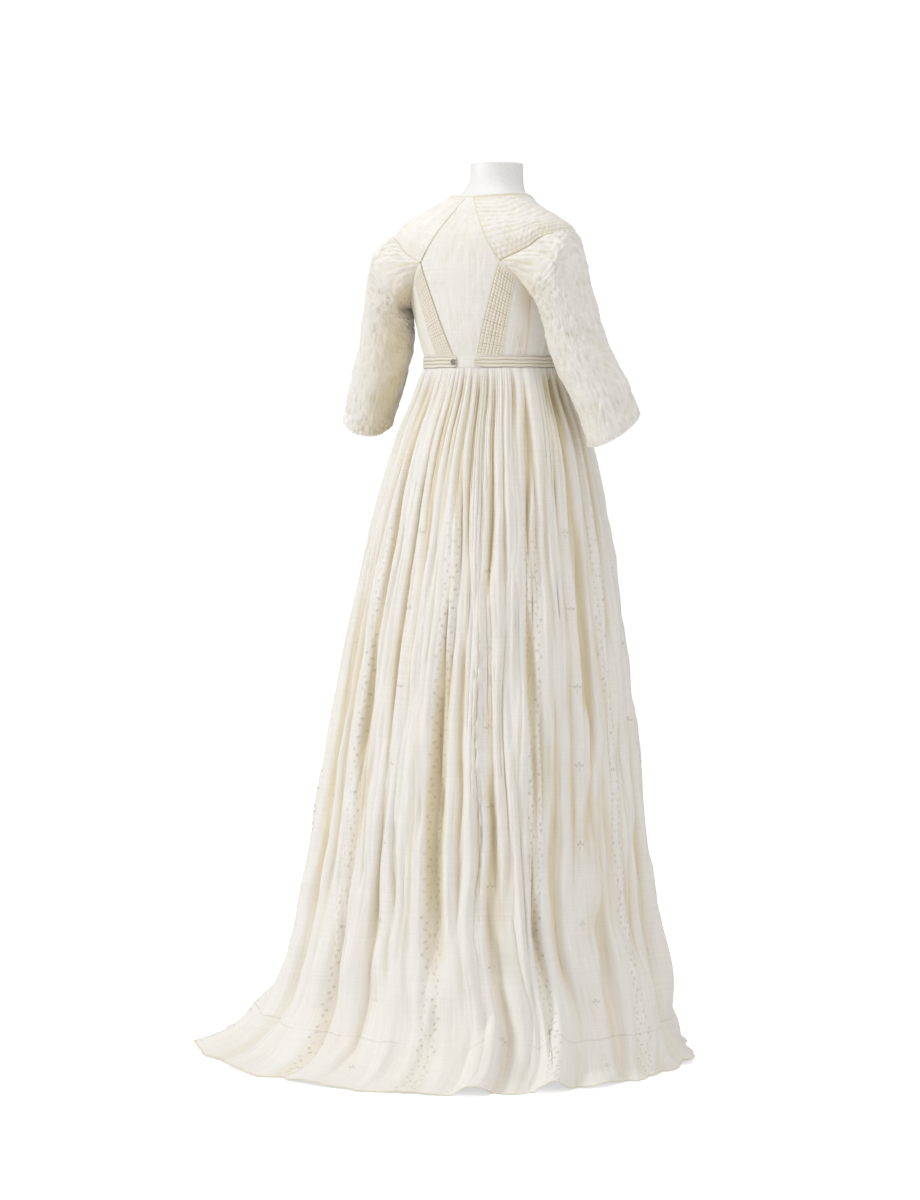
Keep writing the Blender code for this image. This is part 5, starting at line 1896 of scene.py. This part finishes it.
        # Painted warm shade in the fold hollows, weaker near the floor and none on the raised hem ridges,
        # with thin painted shade lines at the valley bottoms and on one flank of each fold
        hollow = cut + gathers * 2.0 - soft * 0.7
        valleys = np.clip((hollow - self.valley_depths[0]) / self.valley_depths[1], 0.0, 1.0)
        valleys *= (0.22 + 0.78 * rise(height, 0.08, 0.48)) * (1.0 - np.clip(bright, 0.0, 1.0))
        valleys += (0.50 * line + 0.17 * flank) * (0.15 + 0.85 * rise(height, 0.04, 0.40))
        valleys = np.minimum(valleys, 0.66 + 0.20 * rise(height, 0.96, 1.06))
        places = np.stack([knee / 360.0 * self.cloth_round, along * np.ones_like(knee)], axis=-1)
        steps = np.linalg.norm(outer - np.roll(outer, 1, axis=1), axis=-1).sum(axis=1, keepdims=True)
        spread = steps / self.cloth_round * np.ones_like(knee)
        return outer, places, valleys, spread

    @staticmethod
    def aside(angle: np.ndarray, middle: Union[float, np.ndarray]) -> np.ndarray:
        """How far angles lie from a middle, from -180 to 180 degrees."""
        return (angle - middle + 180.0) % 360.0 - 180.0


@dataclass
class DressForm:
    """The limbless form, its pole and its round base."""

    torso: Torso
    form_finish: PlainFinish
    stand_finish: PlainFinish
    effects: Effects
    clearance: float = 0.004
    waist_clearance: float = 0.0008
    steps: int = 128
    levels: tuple[float, float] = (1.0, 12.0)
    neck_top: float = 1.441
    neck_bevel: float = 0.0012
    # Hips below the waist: height, half width, depth
    hips: tuple = ((0.820, 0.112, 0.086), (0.832, 0.124, 0.096), (0.880, 0.142, 0.112),
                   (0.950, 0.146, 0.116), (1.020, 0.134, 0.106), (1.075, 0.120, 0.094))
    pole_radius: float = 0.016
    pole_ends: tuple[float, float] = (0.0143, 0.8197)
    base_radius: float = 0.150
    base_height: float = 0.014
    base_bevel: float = 0.004

    def build(self) -> None:
        """Make the form and its stand."""
        self.form()
        painted = self.stand_finish.material(self.effects)
        self.pole(painted)
        self.base(painted)

    def form(self) -> None:
        """The smooth torso with its flat-topped neck."""
        angles = np.arange(self.steps) * 360.0 / self.steps
        turn = np.radians(angles)
        hips = smooth(np.array(self.hips), np.linspace(0.0, len(self.hips) - 1, 26))
        loops = [np.stack([-half * np.sin(turn), depth * np.cos(turn), np.full(len(turn), height)], axis=-1)
                 for height, half, depth in hips]
        loops += [self.torso.waist_ring(angles, height, np.full(len(angles), -self.waist_clearance))
                  for height in (1.105, 1.115, 1.125)]
        for level in np.linspace(*self.levels, 56):
            levels = np.full(len(angles), level)
            inset = self.torso.normal(angles, levels) * self.clearance
            loops.append(self.torso.point(angles, levels) - inset)
        top = loops[-1].copy()
        top[:, 2] = self.neck_top
        loops.append(top)
        loops = np.array(loops)
        bm = bmesh.new()
        bmesh.ops.create_circle(bm, segments=self.steps, radius=1.0)
        edges = bm.edges[:]
        for _ in range(len(loops) - 1):
            raised = bmesh.ops.extrude_edge_only(bm, edges=edges)["geom"]
            edges = [item for item in raised if isinstance(item, bmesh.types.BMEdge)]
            corners = [item for item in raised if isinstance(item, bmesh.types.BMVert)]
            bmesh.ops.translate(bm, verts=corners, vec=(0.0, 0.0, 1.0))
        bmesh.ops.edgeloop_fill(bm, edges=[edge for edge in bm.edges if edge.is_boundary])
        for vert in bm.verts:
            around = math.atan2(-vert.co.x, vert.co.y) % (2.0 * math.pi)
            vert.co = loops[round(vert.co.z), round(around * self.steps / (2.0 * math.pi)) % self.steps]
        rim = [edge for edge in bm.edges if all(v.co.z > self.neck_top - 0.0001 for v in edge.verts)]
        bmesh.ops.bevel(bm, geom=rim, offset=self.neck_bevel, offset_type="OFFSET", segments=3, profile=0.5,
                        affect="EDGES", material=-1)
        piece = mesh_object("form_torso_smooth", bm)
        dress(piece, self.form_finish.material(self.effects), "form_torso")

    def pole(self, painted: bpy.types.Material) -> None:
        """The round pole, in the stand's paint."""
        low, high = self.pole_ends
        bm = bmesh.new()
        bmesh.ops.create_cone(bm, cap_ends=True, segments=64, radius1=self.pole_radius,
                              radius2=self.pole_radius, depth=high - low)
        bmesh.ops.translate(bm, verts=bm.verts[:], vec=(0.0, 0.0, (low + high) / 2.0))
        piece = mesh_object("stand_pole_round", bm)
        dress(piece, painted, "stand_pole")

    def base(self, painted: bpy.types.Material) -> None:
        """The round base with softened edges, in the stand's paint."""
        bm = bmesh.new()
        bmesh.ops.create_cone(bm, cap_ends=True, segments=128, radius1=self.base_radius,
                              radius2=self.base_radius, depth=self.base_height)
        bmesh.ops.translate(bm, verts=bm.verts[:], vec=(0.0, 0.0, self.base_height / 2.0))
        rims = [edge for edge in bm.edges if abs(edge.verts[0].co.z - edge.verts[1].co.z) < 0.0001]
        bmesh.ops.bevel(bm, geom=rims, offset=self.base_bevel, offset_type="OFFSET", segments=4, profile=0.5,
                        affect="EDGES", material=-1)
        piece = mesh_object("stand_base_round", bm)
        dress(piece, painted, "stand_base")


@dataclass(frozen=True)
class Lamp:
    """A soft rectangular light: its place, size, power and colour. It points at the gown."""

    name: str
    place: tuple[float, float, float]
    size: float
    power: float
    colour: tuple[float, float, float] = (1.0, 1.0, 1.0)
    target: tuple[float, float, float] = (0.0, 0.0, 0.75)

    def add(self) -> None:
        """Put the lamp into the scene."""
        data = bpy.data.lights.new(self.name, "AREA")
        data.shape = "SQUARE"
        data.size = self.size
        data.energy = self.power
        data.color = self.colour
        lamp = bpy.data.objects.new(self.name, data)
        lamp.location = self.place
        lamp.rotation_euler = (Vector(self.target) - Vector(self.place)).to_track_quat("-Z", "Y").to_euler()
        bpy.context.scene.collection.objects.link(lamp)


@dataclass
class Studio:
    """The pale floor, the soft lights and the camera at the photograph's angle."""

    distance: float = 5.2
    camera_height: float = 1.0
    focal_pixels: float = 3156.0
    axis_pixel: float = 493.0
    horizon_pixel: float = 433.0
    photo: tuple[int, int] = (920, 1200)
    sensor: float = 36.0
    floor_colour: tuple[float, float, float] = (0.90, 0.90, 0.905)
    floor_glow: float = 0.62
    world_colour: tuple[float, float, float] = (1.0, 0.992, 0.975)
    world_strength: float = 0.48
    lamps: tuple[Lamp, ...] = (
        Lamp("key", (3.6, 3.6, 2.9), 1.8, 120.0, (1.0, 0.992, 0.975)),
        Lamp("fill", (-4.4, 1.9, 1.8), 2.8, 46.0, (1.0, 0.965, 0.925)),
        Lamp("top", (0.0, 0.4, 4.6), 2.6, 48.0),
    )

    def build(self) -> None:
        """Make the floor, the light and the camera."""
        self.floor()
        self.world()
        for lamp in self.lamps:
            lamp.add()
        self.camera()
        bpy.context.scene.view_settings.view_transform = "Standard"

    def floor(self) -> None:
        """A wide pale floor."""
        bm = bmesh.new()
        bmesh.ops.create_grid(bm, x_segments=2, y_segments=2, size=30.0)
        floor = mesh_object("floor", bm)
        material = bpy.data.materials.new("pale_floor")
        material.use_nodes = True
        shader = material.node_tree.nodes["Principled BSDF"]
        shader.inputs["Base Color"].default_value = (*self.floor_colour, 1.0)
        shader.inputs["Roughness"].default_value = 0.7
        shader.inputs["Specular IOR Level"].default_value = 0.1
        shader.inputs["Emission Color"].default_value = (1.0, 1.0, 1.0, 1.0)
        nodes = NodeTree(material.node_tree)
        seen = nodes.add("ShaderNodeLightPath").outputs["Is Camera Ray"]
        nodes.feed(shader.inputs["Emission Strength"], nodes.math("MULTIPLY", seen, self.floor_glow))
        floor.data.materials.append(material)

    def world(self) -> None:
        """An even white surround."""
        world = bpy.data.worlds.new("white_room")
        world.use_nodes = True
        back = world.node_tree.nodes["Background"]
        nodes = NodeTree(world.node_tree)
        seen = nodes.add("ShaderNodeLightPath").outputs["Is Camera Ray"]
        nodes.feed(back.inputs["Color"], nodes.blend(seen, (*self.world_colour, 1.0), (1.0, 1.0, 1.0, 1.0)))
        nodes.feed(back.inputs["Strength"], nodes.fade(seen, 0.0, 1.0, self.world_strength, 1.05))
        bpy.context.scene.world = world

    def camera(self) -> None:
        """The camera, aimed so that the gown's middle line and the horizon match the photograph."""
        data = bpy.data.cameras.new("camera")
        data.sensor_width = self.sensor
        data.lens = self.focal_pixels * self.sensor / max(self.photo)
        place = Vector((-0.5 * self.distance, math.sqrt(0.75) * self.distance, self.camera_height))
        left = math.atan((self.axis_pixel - self.photo[0] / 2.0) / self.focal_pixels)
        down = math.atan((self.photo[1] / 2.0 - self.horizon_pixel) / self.focal_pixels)
        level = Vector((-place.x, -place.y, 0.0)).normalized()
        level.rotate(Matrix.Rotation(left, 3, "Z"))
        look = level * math.cos(down) - Vector((0.0, 0.0, 1.0)) * math.sin(down)
        camera = bpy.data.objects.new("camera", data)
        camera.location = place
        camera.rotation_euler = look.to_track_quat("-Z", "Y").to_euler()
        bpy.context.scene.collection.objects.link(camera)
        bpy.context.scene.camera = camera


def main() -> None:
    """Build the studio, the form and the gown's pieces in order."""
    logging.basicConfig(level=logging.INFO, format="%(name)s %(message)s")
    Studio().build()
    effects = Effects()
    torso = Torso()
    plain = CottonFinish("plain_cotton")
    # The belt's fold colour is the painted shade of its grooves
    belt = CottonFinish("belt_cotton", light=(0.835, 0.80, 0.72), fold=(0.50, 0.42, 0.28))
    band = CottonFinish("band_cotton")
    printed = CottonFinish("printed_cotton", print_share=0.46, hem_line=0.125, age_share=0.14, offset=0.195)
    thread = PlainFinish("button_thread", (0.30, 0.31, 0.23), (0.16, 0.17, 0.12), 0.85, grain=900.0,
                         bump=0.5)
    seam_thread = PlainFinish("seam_thread", (0.36, 0.32, 0.24), (0.22, 0.19, 0.14), 0.85, grain=700.0,
                              bump=0.3)
    moulded = PlainFinish("form_white", (0.86, 0.86, 0.86), (0.82, 0.82, 0.82), 0.5)
    painted = PlainFinish("stand_grey", (0.62, 0.62, 0.61), (0.55, 0.55, 0.54), 0.4, metallic=0.6)
    DressForm(torso, moulded, painted, effects).build()
    bodice = Bodice(torso, plain, effects)
    bodice.build()
    SeamStitches(torso, seam_thread, effects).build()
    Sleeve(Side.RIGHT, bodice, 0.0).build()
    Sleeve(Side.LEFT, bodice, 0.018).build()
    Waist(torso, band, belt, thread, effects).build()
    Skirt(printed, effects).build()


if __name__ == "__main__":
    main()
